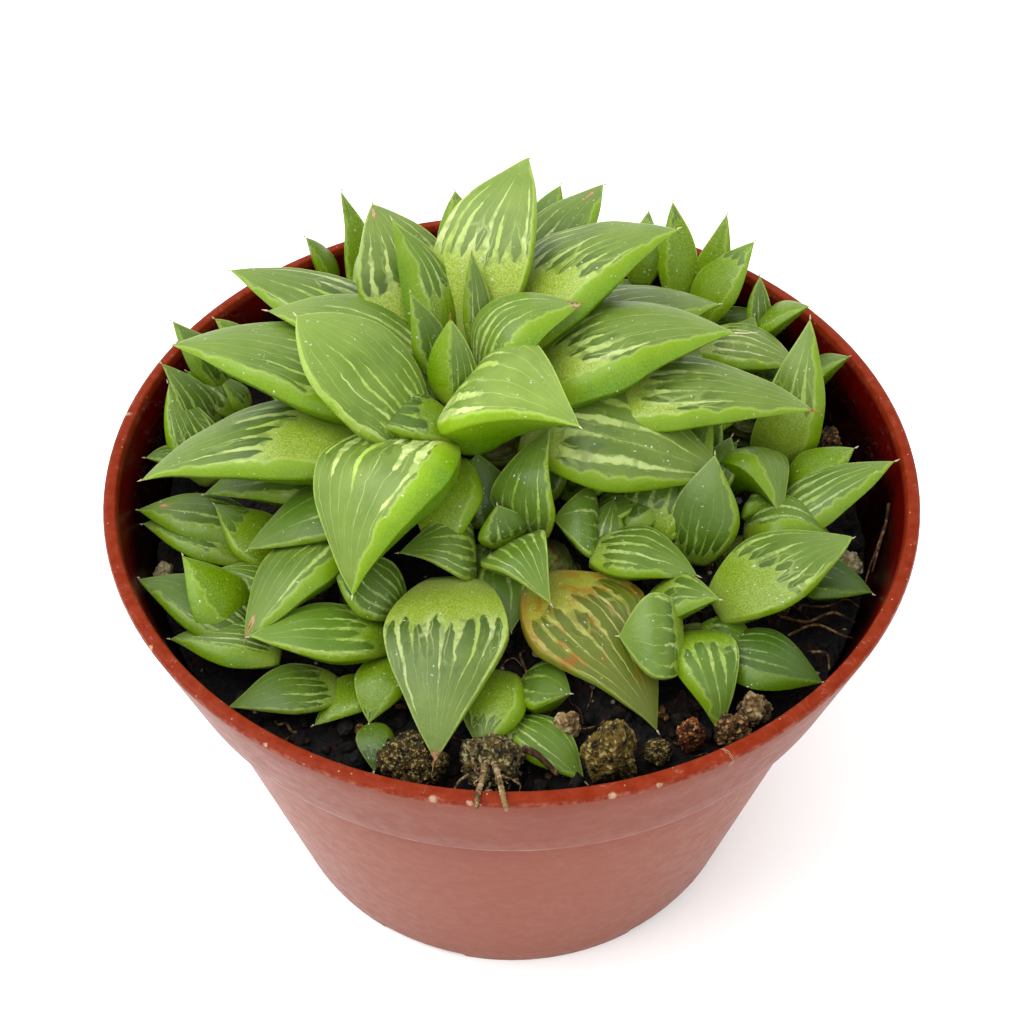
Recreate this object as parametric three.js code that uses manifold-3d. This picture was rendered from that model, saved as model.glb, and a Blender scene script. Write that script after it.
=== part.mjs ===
// A clump of haworthia, a small succulent with windowed leaves, in a round plastic nursery pot.
// Millimetres, +Z up. The origin is the middle of the pot's foot, and -Y is the side one looks at.
import * as THREE from 'three';
import { mergeVertices } from 'three/addons/utils/BufferGeometryUtils.js';
import Module from 'manifold-3d';

const wasm = await Module();
wasm.setup();

// ---- Driving dimensions ----

const GAP = 0.3; // clear space kept between pieces that touch

// The pot: a tapered wall under a wider rim band, on a low foot ring.
const POT_HEIGHT = 69;
const RIM_RADIUS = 52.5;
const RIM_WIDTH = 1.8;
const BAND_HEIGHT = 17;
const BAND_FOOT_RADIUS = 48.2;
const FOOT_RADIUS = 36.2;
const WALL_TOP_RADIUS = 46.7;
const WALL = 1.5;
const FLOOR = 1.7;
const FOOT_RING_WIDTH = 3;
const FOOT_RING_HEIGHT = 1.5;
const FOOT_NOTCH = { count: 6, first: 249, wide: 13, high: 1.2 };
const DRAIN_HOLES = { radius: 4, ring: 22, count: 4 };
const POT_SIDES = 48;

// The soil fills the pot to about a finger's width below the rim and rises under the plant.
const SOIL_EDGE = 58;
const SOIL_CROWN = 61;
const SOIL_LUMPS = 0.6;

// The short stem of each rosette: middle [x, y], half sizes along X and Y, and top.
const STEMS = {
  main: { at: [-3, 7], half: [9.5, 11], top: 76 },
  back: { at: [-1, 30], half: [6, 4.5], top: 74 },
  front: { at: [1, -14], half: [9, 6.5], top: 65.5 },
  right: { at: [30, -11], half: [7, 6.5], top: 62.5 },
  right_front: { at: [22, -24], half: [4.5, 4], top: 63 },
  far_right: { at: [33, 17], half: [7, 9], top: 66 },
  back_right: { at: [25, 34], half: [5, 4.5], top: 66 },
  left_front: { at: [-17, -19], half: [5, 7], top: 66 },
};

// How a leaf is built: thickness as a share of its width, height of its bow as a share of its
// length, and how far along it is widest.
const HABITS = {
  broad: { thick: 0.5, arch: 0.12, belly: 0.52 },
  bent: { thick: 0.6, arch: 0.3, belly: 0.38 },
  wide: { thick: 0.36, arch: 0.1, belly: 0.38 },
  spear: { thick: 0.48, arch: 0.05, belly: 0.45 },
  flat: { thick: 0.36, arch: 0.1, belly: 0.45 },
  blunt: { thick: 0.75, arch: 0.15, belly: 0.5 },
  low: { thick: 0.45, arch: 0.1, belly: 0.48 },
};

// The leaves of each rosette, those that lie on top first. A row is the middle of the leaf's base
// x, y, z, the heading of its axis from +X, its rise above level, its length and width, its habit,
// its roll about the axis, and a sideways bend as a share of its length.
const LEAVES = {
  main: [
    [-8, 0.5, 76, 333, 17, 19, 17, 'bent', -6, 0.06],
    [-7, -0.5, 78, 97, 66, 11.5, 6.5, 'spear', 0, 0.03],
    [-3.5, 3.5, 77, 27, 34, 16.5, 11, 'bent', 0, 0.06],
    [-11.5, -5, 77, 150, 36, 21, 14.5, 'broad', 0, 0.03],
    [-10, -3.5, 76, 247, -16, 23.5, 18, 'bent', -12, 0],
    [-9.5, 9.5, 78, 120, 50, 18, 8, 'spear', 0, -0.07],
    [-5.5, 11, 78, 66, 42, 25.5, 13.5, 'broad', 0, 0.04],
    [-11.5, 11.5, 77, 114, 34, 21, 14, 'broad', 0, -0.03],
    [-9, 4.5, 76, 165, 20, 24.5, 13, 'broad', 0, -0.06],
    [-1.5, 11, 77, 24, 26, 28, 15, 'broad', 0, 0.07],
    [1.5, 3.5, 76, 11, 13, 28, 15.5, 'broad', 0, 0.06],
    [-12.5, 1, 75, 171, 14, 31.5, 14.5, 'broad', 0, 0],
    [-11, 10.5, 74, 160, 18, 29.5, 12.5, 'broad', 0, 0.03],
    [-13.5, -4, 73, 186, -2, 33, 14, 'broad', 0, -0.04],
    [-1, 18, 74, 51, 30, 25, 12, 'broad', 0, 0],
    [2.5, 14, 72.5, 19, 6, 27.5, 13, 'broad', 0, 0],
    [5.5, 3, 74, 357, 2, 33.5, 12, 'broad', 10, 0.02],
    [2.5, 0.5, 73, 353, -6, 24, 13.5, 'broad', 8, 0.02],
    [-3, 16, 73, 92, 10, 25, 12.5, 'broad', 0, 0.03],
    [4, 17, 71, 66, 4, 26, 12, 'broad', 0, -0.04],
    [-8.5, 12.5, 71, 118, 4, 29, 12, 'broad', 0, 0.04],
  ],
  front: [
    [2.5, -11.5, 66, 74, 48, 14, 9, 'bent', 15, 0.03],
    [-4.5, -15, 67, 188, 8, 9.5, 9, 'bent', 20, 0],
    [-0.5, -15, 68, 300, 0, 10.5, 9, 'bent', -10, 0],
    [-7, -18.5, 66, 266, -8, 24.5, 15, 'broad', 0, 0],
    [10, -14, 66, 343, 0, 13.5, 9, 'broad', 0, 0.03],
    [3, -17, 64.5, 307, -13, 24.5, 16.5, 'wide', 0, 0.04],
  ],
  low_front: [
    [-0.5, -29, 61, 254, -2, 11.5, 8, 'blunt', 0, 0],
    [0.5, -35.5, 60, 318, -8, 11, 6.5, 'low', 0, 0],
  ],
  right_front: [
    [20.5, -26.5, 64, 188, 16, 8, 10.5, 'bent', 30, 0],
    [21.5, -23.5, 62, 284, -12, 13.5, 9, 'bent', 0, 0],
    [25.5, -26.5, 62, 340, -2, 12.5, 9, 'low', 0, 0],
  ],
  right: [
    [25, -20.5, 63, 20, 18, 19, 11.5, 'broad', 0, -0.02],
    [23, -12.5, 62, 72, 58, 14.5, 9, 'broad', 0, -0.04],
    [33, -7.5, 61, 20, 26, 19.5, 8, 'low', 0, 0],
  ],
  far_right: [
    [25.5, 23, 68, 339, 2, 15, 10, 'broad', 0, 0],
    [35, 4.5, 59.5, 68, 62, 23, 9, 'flat', 0, -0.05],
  ],
  back_right: [
    [24.5, 35, 66, 101, 60, 14.5, 6, 'spear', 0, 0],
    [27, 31.5, 64.5, 34, 50, 14.5, 8, 'low', 0, 0],
  ],
  back: [[-2, 30, 70, 120, 14, 15, 8, 'broad', 0, 0]],
  back_left: [[-21.5, 35.5, 58, 109, 62, 22.5, 6, 'spear', 0, -0.04]],
  left: [[-40.5, 4.5, 59, 124, 40, 15, 7.5, 'low', 0, 0.04]],
  left_front: [
    [-20.5, -12.5, 68, 234, -8, 19, 10.5, 'broad', -14, 0],
    [-13.5, -22.5, 65, 155, 25, 10, 9, 'low', 0, 0],
    [-14.5, -25.5, 63, 189, 12, 17, 9, 'broad', 0, 0.03],
  ],
};
const LEAF_SIDES = 8;
const LEAF_STEPS = 7;

// What lies on the soil: middle [x, y], half sizes, and the slot of its finish.
const GROUND = {
  moss_lump: { at: [-11.5, -41], half: [3.6, 2.8, 3.4], slot: 'moss' },
  root_lump: { at: [-2.5, -41.5], half: [3.8, 3.2, 4], slot: 'root' },
  mossy_stone: { at: [11.5, -40.5], half: [3.2, 3, 4.6], slot: 'moss' },
  bark_chip: { at: [20.5, -37.5], half: [2.4, 1.4, 3], slot: 'bark' },
  perlite_lump: { at: [26.5, -36.5], half: [1.8, 1.6, 1.8], slot: 'perlite' },
};
const SUNK = 0.35; // share of a lump's half height that lies below the soil's surface

const FINISHES = {
  pot: { color: 0xa85a4c, roughness: 0.45, metalness: 0 },
  soil: { color: 0x1f1713, roughness: 1, metalness: 0 },
  stem: { color: 0x6f8a3a, roughness: 0.7, metalness: 0 },
  leaf: { color: 0x7fae45, roughness: 0.4, metalness: 0 },
  moss: { color: 0x6b5d33, roughness: 1, metalness: 0 },
  root: { color: 0x5a4b38, roughness: 1, metalness: 0 },
  bark: { color: 0x5b3322, roughness: 0.9, metalness: 0 },
  perlite: { color: 0xd8d2c4, roughness: 1, metalness: 0 },
};

// ---- Solids ----

// A closed solid from a geometry whose shared corners are merged.
function solidOf(geometry) {
  geometry.deleteAttribute('normal');
  geometry.deleteAttribute('uv');
  const merged = mergeVertices(geometry, 1e-4);
  const mesh = new wasm.Mesh({
    numProp: 3,
    vertProperties: Float32Array.from(merged.attributes.position.array),
    triVerts: Uint32Array.from(merged.index.array),
  });
  mesh.merge();
  return new wasm.Manifold(mesh);
}

function geometryOf(solid) {
  const mesh = solid.getMesh();
  const geometry = new THREE.BufferGeometry();
  geometry.setAttribute('position', new THREE.BufferAttribute(mesh.vertProperties, 3));
  geometry.setIndex(new THREE.BufferAttribute(mesh.triVerts, 1));
  geometry.computeVertexNormals();
  return geometry;
}

// A profile of [radius, height] points, turned about Z.
function turned(points, sides) {
  const profile = points.map(([radius, height]) => new THREE.Vector2(radius, height));
  return new THREE.LatheGeometry(profile, sides).rotateX(Math.PI / 2);
}

// Cutting can split off slivers, so only the largest body is kept.
function largestBody(solid) {
  const bodies = solid.decompose();
  return bodies.reduce((best, body) => (body.volume() > best.volume() ? body : best));
}

const group = new THREE.Group();
const taken = []; // the space of each piece so far, grown by the gap

function addPiece(name, slot, solid) {
  const material = new THREE.MeshStandardMaterial(FINISHES[slot]);
  const mesh = new THREE.Mesh(geometryOf(solid), material);
  mesh.name = name;
  group.add(mesh);
}

// Builds a piece around those already there. shape(grow) gives its solid, grown all round.
function fitPiece(name, slot, shape) {
  const cut = taken.reduce((solid, space) => solid.subtract(space), shape(0));
  addPiece(name, slot, largestBody(cut));
  taken.push(shape(GAP));
}

// ---- Pot ----

function wallRadius(z) {
  return FOOT_RADIUS + ((WALL_TOP_RADIUS - FOOT_RADIUS) * z) / (POT_HEIGHT - BAND_HEIGHT);
}

const POT_FLOOR_TOP = FOOT_RING_HEIGHT + FLOOR;
const BAND_FOOT = POT_HEIGHT - BAND_HEIGHT;
const BAND_INNER_RADIUS = BAND_FOOT_RADIUS - RIM_WIDTH;
const RIM_INNER_RADIUS = RIM_RADIUS - RIM_WIDTH;

// The radius of the space inside the pot at a height above its floor.
function innerRadius(z) {
  if (z <= BAND_FOOT - WALL) return wallRadius(z) - WALL;
  const up = Math.max(0, (z - BAND_FOOT) / BAND_HEIGHT);
  return BAND_INNER_RADIUS + (RIM_INNER_RADIUS - BAND_INNER_RADIUS) * up;
}

function potShell() {
  const edge = 0.5; // rounding of the rim's outer edge
  return turned(
    [
      [0, FOOT_RING_HEIGHT],
      [FOOT_RADIUS - FOOT_RING_WIDTH, FOOT_RING_HEIGHT],
      [FOOT_RADIUS - FOOT_RING_WIDTH, 0],
      [FOOT_RADIUS, 0],
      [WALL_TOP_RADIUS, BAND_FOOT],
      [BAND_FOOT_RADIUS, BAND_FOOT],
      [RIM_RADIUS, POT_HEIGHT - edge],
      [RIM_RADIUS - edge, POT_HEIGHT],
      [RIM_INNER_RADIUS, POT_HEIGHT],
      [BAND_INNER_RADIUS, BAND_FOOT],
      [innerRadius(BAND_FOOT - WALL), BAND_FOOT - WALL],
      [innerRadius(POT_FLOOR_TOP), POT_FLOOR_TOP],
      [0, POT_FLOOR_TOP],
    ],
    POT_SIDES,
  );
}

function footNotch(heading) {
  const depth = FOOT_RING_WIDTH + 2;
  const notch = new THREE.BoxGeometry(depth, FOOT_NOTCH.wide, 2 * FOOT_NOTCH.high);
  return notch.translate(FOOT_RADIUS - depth / 2 + 1, 0, 0).rotateZ(heading);
}

function drainHole(x, y) {
  const sides = 16;
  const hole = new THREE.CylinderGeometry(DRAIN_HOLES.radius, DRAIN_HOLES.radius, 4 * FLOOR, sides);
  return hole.rotateX(Math.PI / 2).translate(x, y, FOOT_RING_HEIGHT + FLOOR / 2);
}

function addPot() {
  let pot = solidOf(potShell());
  for (let i = 0; i < FOOT_NOTCH.count; i++) {
    const heading = THREE.MathUtils.degToRad(FOOT_NOTCH.first + (360 / FOOT_NOTCH.count) * i);
    pot = pot.subtract(solidOf(footNotch(heading)));
  }
  pot = pot.subtract(solidOf(drainHole(0, 0)));
  for (let i = 0; i < DRAIN_HOLES.count; i++) {
    const turn = (2 * Math.PI * (i + 0.5)) / DRAIN_HOLES.count;
    const x = DRAIN_HOLES.ring * Math.cos(turn);
    const y = DRAIN_HOLES.ring * Math.sin(turn);
    pot = pot.subtract(solidOf(drainHole(x, y)));
  }
  addPiece('pot', 'pot', pot);
}

// ---- Soil ----

function lumps(x, y) {
  return SOIL_LUMPS * (Math.sin(0.45 * x + 1) * Math.cos(0.38 * y) + 0.5 * Math.sin(0.9 * y - 0.7 * x));
}

// The height of the soil's surface, grown or not, at a place in the pot.
function soilTop(x, y) {
  const out = THREE.MathUtils.smoothstep(Math.hypot(x, y), 26, 44);
  return SOIL_CROWN + (SOIL_EDGE - SOIL_CROWN) * out + lumps(x, y);
}

function soilBody(grow) {
  const floor = POT_FLOOR_TOP + GAP;
  const shoulder = BAND_FOOT - WALL;
  const edge = innerRadius(SOIL_EDGE) - 2 * GAP;
  const rings = [44, 38, 32, 26, 20, 13, 6];
  const geometry = turned(
    [
      [0, floor],
      [innerRadius(floor) - GAP, floor],
      [innerRadius(shoulder) - GAP, shoulder],
      [innerRadius(BAND_FOOT) - 2 * GAP, BAND_FOOT],
      [edge, SOIL_EDGE],
      ...rings.map((radius) => [radius, SOIL_CROWN]),
      [0, SOIL_CROWN],
    ],
    36,
  );
  const corner = geometry.attributes.position;
  for (let i = 0; i < corner.count; i++) {
    if (corner.getZ(i) < SOIL_EDGE - 1) continue;
    corner.setZ(i, soilTop(corner.getX(i), corner.getY(i)) + grow);
  }
  return solidOf(geometry);
}

// ---- Plant ----

function stemBody({ at: [x, y], half: [halfX, halfY], top }, grow) {
  const foot = SOIL_EDGE - 1;
  const shoulder = foot + 0.55 * (top - foot);
  const geometry = turned(
    [
      [0, foot],
      [1, foot],
      [0.9, shoulder],
      [0.55, top - 1.5],
      [0, top],
    ].map(([radius, height]) => [radius, height + grow * (height > foot ? 1 : 0)]),
    12,
  );
  return solidOf(geometry.scale(halfX + grow, halfY + grow, 1).translate(x, y, 0));
}

// Half the leaf's outline and its depth at s, from 0 at the base to 1 at the tip, as a share of
// the largest. Both swell from the base to the peak and close in a blunt point.
function swell(s, start, peak, power) {
  if (s < peak) return start + (1 - start) * Math.sin((Math.PI / 2) * (s / peak)) ** power;
  return Math.max(0, Math.cos((Math.PI / 2) * ((s - peak) / (1 - peak)))) ** power;
}
const outline = (s) => swell(s, 0.3, 0.55, 0.8);
const depth = (s) => swell(s, 0.55, 0.45, 0.6);

// A leaf is a ball drawn out along its axis: gently crowned above and keeled below.
function leafBody(row, grow) {
  const [x, y, z, heading, rise, long, wide, habit, roll, sway] = row;
  const { thick, arch, belly } = HABITS[habit];
  const turn = THREE.MathUtils.degToRad(heading);
  const tilt = THREE.MathUtils.degToRad(rise);
  const flat = new THREE.Vector3(Math.cos(turn), Math.sin(turn), 0);
  const along = flat.clone().multiplyScalar(Math.cos(tilt)).setZ(Math.sin(tilt));
  const up = flat.clone().multiplyScalar(-Math.sin(tilt)).setZ(Math.cos(tilt));
  up.applyAxisAngle(along, -THREE.MathUtils.degToRad(roll));
  const left = new THREE.Vector3().crossVectors(up, along);
  const warp = Math.log(0.55) / Math.log(belly);
  const geometry = new THREE.SphereGeometry(1, LEAF_SIDES, LEAF_STEPS);
  const corner = geometry.attributes.position;
  const point = new THREE.Vector3();
  for (let i = 0; i < corner.count; i++) {
    const s = THREE.MathUtils.clamp((1 - corner.getY(i)) / 2, 0, 1);
    const ring = Math.hypot(corner.getX(i), corner.getZ(i));
    const across = ring > 1e-6 ? corner.getX(i) / ring : 0;
    const above = ring > 1e-6 ? corner.getZ(i) / ring : 0;
    const bow = 4 * s * (1 - s);
    const halfWidth = (outline(s ** warp) * wide) / 2;
    const keel = 2.2 - 0.9 * s;
    let height = arch * long * bow;
    if (above > 1e-6) height += 0.16 * halfWidth * (1 - across ** 2) + grow;
    if (above < -1e-6) height -= depth(s ** warp) * wide * thick * (1 - Math.abs(across) ** keel) + grow;
    const aside = across * (ring > 1e-6 ? halfWidth + grow : 0) + sway * long * bow;
    point.set(x, y, z);
    point.addScaledVector(along, s * long + (2 * s - 1) * grow);
    point.addScaledVector(left, aside);
    point.addScaledVector(up, height);
    corner.setXYZ(i, point.x, point.y, point.z);
  }
  return solidOf(geometry);
}

// ---- Things on the soil ----

function lumpBody({ at: [x, y], half: [halfX, halfY, halfZ] }, grow) {
  const geometry = new THREE.IcosahedronGeometry(1, 2);
  const corner = geometry.attributes.position;
  const point = new THREE.Vector3();
  for (let i = 0; i < corner.count; i++) {
    point.fromBufferAttribute(corner, i);
    const dent = 1 + 0.07 * Math.sin(5 * point.x + x) + 0.07 * Math.sin(4 * point.y - 3 * point.z + y);
    point.multiplyScalar(dent);
    corner.setXYZ(i, point.x, point.y, point.z);
  }
  geometry.scale(halfX + grow, halfY + grow, halfZ + grow);
  return solidOf(geometry.translate(x, y, soilTop(x, y) + halfZ * (1 - SUNK)));
}

// ---- The whole ----

addPot();
fitPiece('soil', 'soil', soilBody);
for (const [name, stem] of Object.entries(STEMS)) {
  fitPiece(`${name}_stem`, 'stem', (grow) => stemBody(stem, grow));
}
for (const [name, rows] of Object.entries(LEAVES)) {
  rows.forEach((row, i) => {
    fitPiece(`${name}_leaf_${i + 1}`, 'leaf', (grow) => leafBody(row, grow));
  });
}
for (const [name, lump] of Object.entries(GROUND)) {
  fitPiece(name, lump.slot, (grow) => lumpBody(lump, grow));
}

export default group;
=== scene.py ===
"""The looks of a potted haworthia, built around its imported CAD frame.

Sizes are in millimetres and turn into metres in piece(). The frame's origin is the middle of the
pot's foot, +Z is up, and the camera looks from -Y.
"""

import math
import random

import bmesh
import bpy
import numpy as np
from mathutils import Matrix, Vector, noise


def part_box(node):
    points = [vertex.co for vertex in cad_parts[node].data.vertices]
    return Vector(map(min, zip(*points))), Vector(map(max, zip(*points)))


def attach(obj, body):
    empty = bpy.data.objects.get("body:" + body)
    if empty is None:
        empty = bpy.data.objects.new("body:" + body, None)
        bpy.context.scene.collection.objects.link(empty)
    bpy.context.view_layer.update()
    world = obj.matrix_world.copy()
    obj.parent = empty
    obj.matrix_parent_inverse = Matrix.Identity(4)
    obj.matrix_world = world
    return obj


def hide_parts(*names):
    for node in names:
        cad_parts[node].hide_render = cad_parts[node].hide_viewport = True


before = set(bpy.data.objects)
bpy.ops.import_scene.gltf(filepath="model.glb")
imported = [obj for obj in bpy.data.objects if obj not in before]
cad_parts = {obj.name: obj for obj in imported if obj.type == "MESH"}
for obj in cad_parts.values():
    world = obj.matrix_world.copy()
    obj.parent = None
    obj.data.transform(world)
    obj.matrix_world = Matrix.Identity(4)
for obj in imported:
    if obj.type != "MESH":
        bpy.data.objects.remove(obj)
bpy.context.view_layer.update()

MM = 0.001
SEEDS = {"noise": 1, "leaves": 11, "roots": 5, "crumbs": 23, "fibres": 31}

# Without this, noise_vector() starts from the time, and the leaves change with each run.
noise.seed_set(SEEDS["noise"])

# ---- The pot and the soil, as the CAD source has them ----

POT_HEIGHT = 69
RIM_RADIUS = 52.5
RIM_WIDTH = 1.8
BAND_HEIGHT = 17
BAND_FOOT_RADIUS = 48.2
BAND_FOOT = POT_HEIGHT - BAND_HEIGHT
FOOT_RADIUS = 36.2
WALL_TOP_RADIUS = 46.7
WALL = 1.5
FLOOR = 1.7
FOOT_RING_WIDTH = 3
FOOT_RING_HEIGHT = 1.5
POT_FLOOR_TOP = FOOT_RING_HEIGHT + FLOOR
FOOT_NOTCHES = {"count": 6, "first": 249, "wide": 13, "high": 1.2}
DRAIN_HOLES = {"radius": 4, "ring": 22, "count": 4}
SOIL_EDGE = 58
SOIL_CROWN = 61
SOIL_GAP = 0.3
POT_SEGMENTS = 144
POT_SHARP = 32  # degrees from which an edge of the pot stays sharp


def smoothstep(x, low, high):
    """From 0 to 1 between two values, without a crease."""
    share = np.clip((x - low) / (high - low), 0, 1)
    return share * share * (3 - 2 * share)


def turns(count):
    """Headings all the way round."""
    return np.linspace(0, 2 * np.pi, count, endpoint=False)


def ring(radius, z, turn):
    """Points round the Z axis."""
    return np.stack([radius * np.cos(turn), radius * np.sin(turn), np.full(len(turn), z)], -1)


def inner_radius(z):
    """The radius of the pot's inside at a height."""
    if z <= BAND_FOOT - WALL:
        return FOOT_RADIUS + (WALL_TOP_RADIUS - FOOT_RADIUS) * z / BAND_FOOT - WALL
    up = max(0, (z - BAND_FOOT) / BAND_HEIGHT)
    foot, rim = BAND_FOOT_RADIUS - RIM_WIDTH, RIM_RADIUS - RIM_WIDTH
    return foot + (rim - foot) * up


def soil_top(x, y):
    """The soil's height, without its crumbs."""
    out = smoothstep(math.hypot(x, y), 26, 44)
    lumps = math.sin(0.45 * x + 1) * math.cos(0.38 * y) + 0.5 * math.sin(0.9 * y - 0.7 * x)
    return SOIL_CROWN + (SOIL_EDGE - SOIL_CROWN) * out + 0.6 * lumps


# ---- Materials ----

LIGHT = 1.9  # how bright the studio makes a white surface that faces up
SHEEN = 0.02  # what the reflected studio adds to it


def colour(red, green, blue):
    """A linear RGBA base colour, from the sRGB bytes that it shows in the studio's light."""
    parts = [c / 255 for c in (red, green, blue)]
    linear = [c / 12.92 if c <= 0.04045 else ((c + 0.055) / 1.055) ** 2.4 for c in parts]
    return [max(c - SHEEN, 0.15 * c) / LIGHT for c in linear] + [1]


# Which output of a node is which.
ATTRIBUTE_VECTOR, ATTRIBUTE_FACTOR = 1, 2
OBJECT_COORDINATE = 3
GEOMETRY_NORMAL = 1
MIXED_COLOUR = 2


def operator(operation, swapped=False):
    """A method of Value that adds a Math node."""

    def apply(value, other=0):
        a, b = (other, value) if swapped else (value, other)
        return value.shader.math(operation, a, b)

    return apply


class Value:
    """A node's output. Arithmetic on it adds Math nodes."""

    def __init__(self, shader, socket):
        self.shader, self.socket = shader, socket

    __add__, __radd__ = operator("ADD"), operator("ADD", True)
    __sub__, __rsub__ = operator("SUBTRACT"), operator("SUBTRACT", True)
    __mul__, __rmul__ = operator("MULTIPLY"), operator("MULTIPLY", True)
    __pow__, __abs__ = operator("POWER"), operator("ABSOLUTE")


class Shader:
    """A procedural material: adds nodes and links them."""

    def __init__(self, name):
        self.material = bpy.data.materials.new(name)
        self.material.use_nodes = True
        self.tree = self.material.node_tree
        self.surface = self.tree.nodes["Principled BSDF"]

    def put(self, socket, value):
        if isinstance(value, Value):
            self.tree.links.new(value.socket, socket)
        else:
            socket.default_value = value

    def node(self, kind, inputs=None, **settings):
        """Adds a node, and gives its outputs."""
        made = self.tree.nodes.new("ShaderNode" + kind)
        for key, value in settings.items():
            setattr(made, key, value)
        for key, value in (inputs or {}).items():
            self.put(made.inputs[key], value)
        return [Value(self, socket) for socket in made.outputs]

    def math(self, operation, a, b=0, clamp=False):
        return self.node("Math", {0: a, 1: b}, operation=operation, use_clamp=clamp)[0]

    def floor(self, value):
        return self.math("FLOOR", value)

    def fract(self, value):
        return self.math("FRACT", value)

    def most(self, a, b):
        return self.math("MAXIMUM", a, b)

    def share(self, part, whole):
        """A part over the whole, kept between 0 and 1."""
        return self.math("DIVIDE", part, whole, clamp=True)

    def step(self, value, low, high, to_low=0, to_high=1):
        """A smooth step from to_low at low to to_high at high."""
        inputs = {"Value": value, "From Min": low, "From Max": high}
        inputs |= {"To Min": to_low, "To Max": to_high}
        return self.node("MapRange", inputs, interpolation_type="SMOOTHSTEP")[0]

    def mix(self, share, a, b):
        """The colour a, or b where the share is 1. A tuple is sRGB bytes."""
        a, b = (colour(*c) if isinstance(c, tuple) else c for c in (a, b))
        return self.node("Mix", {0: share, 6: a, 7: b}, data_type="RGBA")[MIXED_COLOUR]

    def scaled(self, vector, factor):
        return self.node("VectorMath", {0: vector, 3: factor}, operation="SCALE")[0]

    def vector(self, x, y, z=0):
        return self.node("CombineXYZ", {0: x, 1: y, 2: z})[0]

    def split(self, vector):
        return self.node("SeparateXYZ", {0: vector})

    def attribute(self, name, output=ATTRIBUTE_VECTOR):
        return self.node("Attribute", attribute_name=name)[output]

    def place(self):
        """The place on the piece in the row frame, in millimetres."""
        return self.scaled(self.node("TexCoord")[OBJECT_COORDINATE], 1 / MM)

    def noise(self, vector, scale, detail=2, roughness=0.5):
        inputs = {"Vector": vector, "Scale": scale, "Detail": detail, "Roughness": roughness}
        return self.node("TexNoise", inputs)[0]

    def draw(self, column, seed):
        """A random value and a random colour for each whole column."""
        inputs = {"Vector": self.vector(column, seed)}
        return self.node("TexWhiteNoise", inputs, noise_dimensions="2D")

    def cells(self, vector, scale, feature="F1"):
        """Voronoi cells: the distance from the cell's middle or edge, and its random colour."""
        return self.node("TexVoronoi", {"Vector": vector, "Scale": scale}, feature=feature)[:2]

    def bump(self, height, distance, strength=1):
        inputs = {"Height": height, "Distance": distance * MM, "Strength": strength}
        self.put(self.surface.inputs["Normal"], self.node("Bump", inputs)[0])

    def finish(self, base, roughness, **constants):
        self.put(self.surface.inputs["Base Color"], base)
        self.put(self.surface.inputs["Roughness"], roughness)
        for key, value in constants.items():
            self.surface.inputs[key.replace("_", " ")].default_value = value
        return self.material


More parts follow.
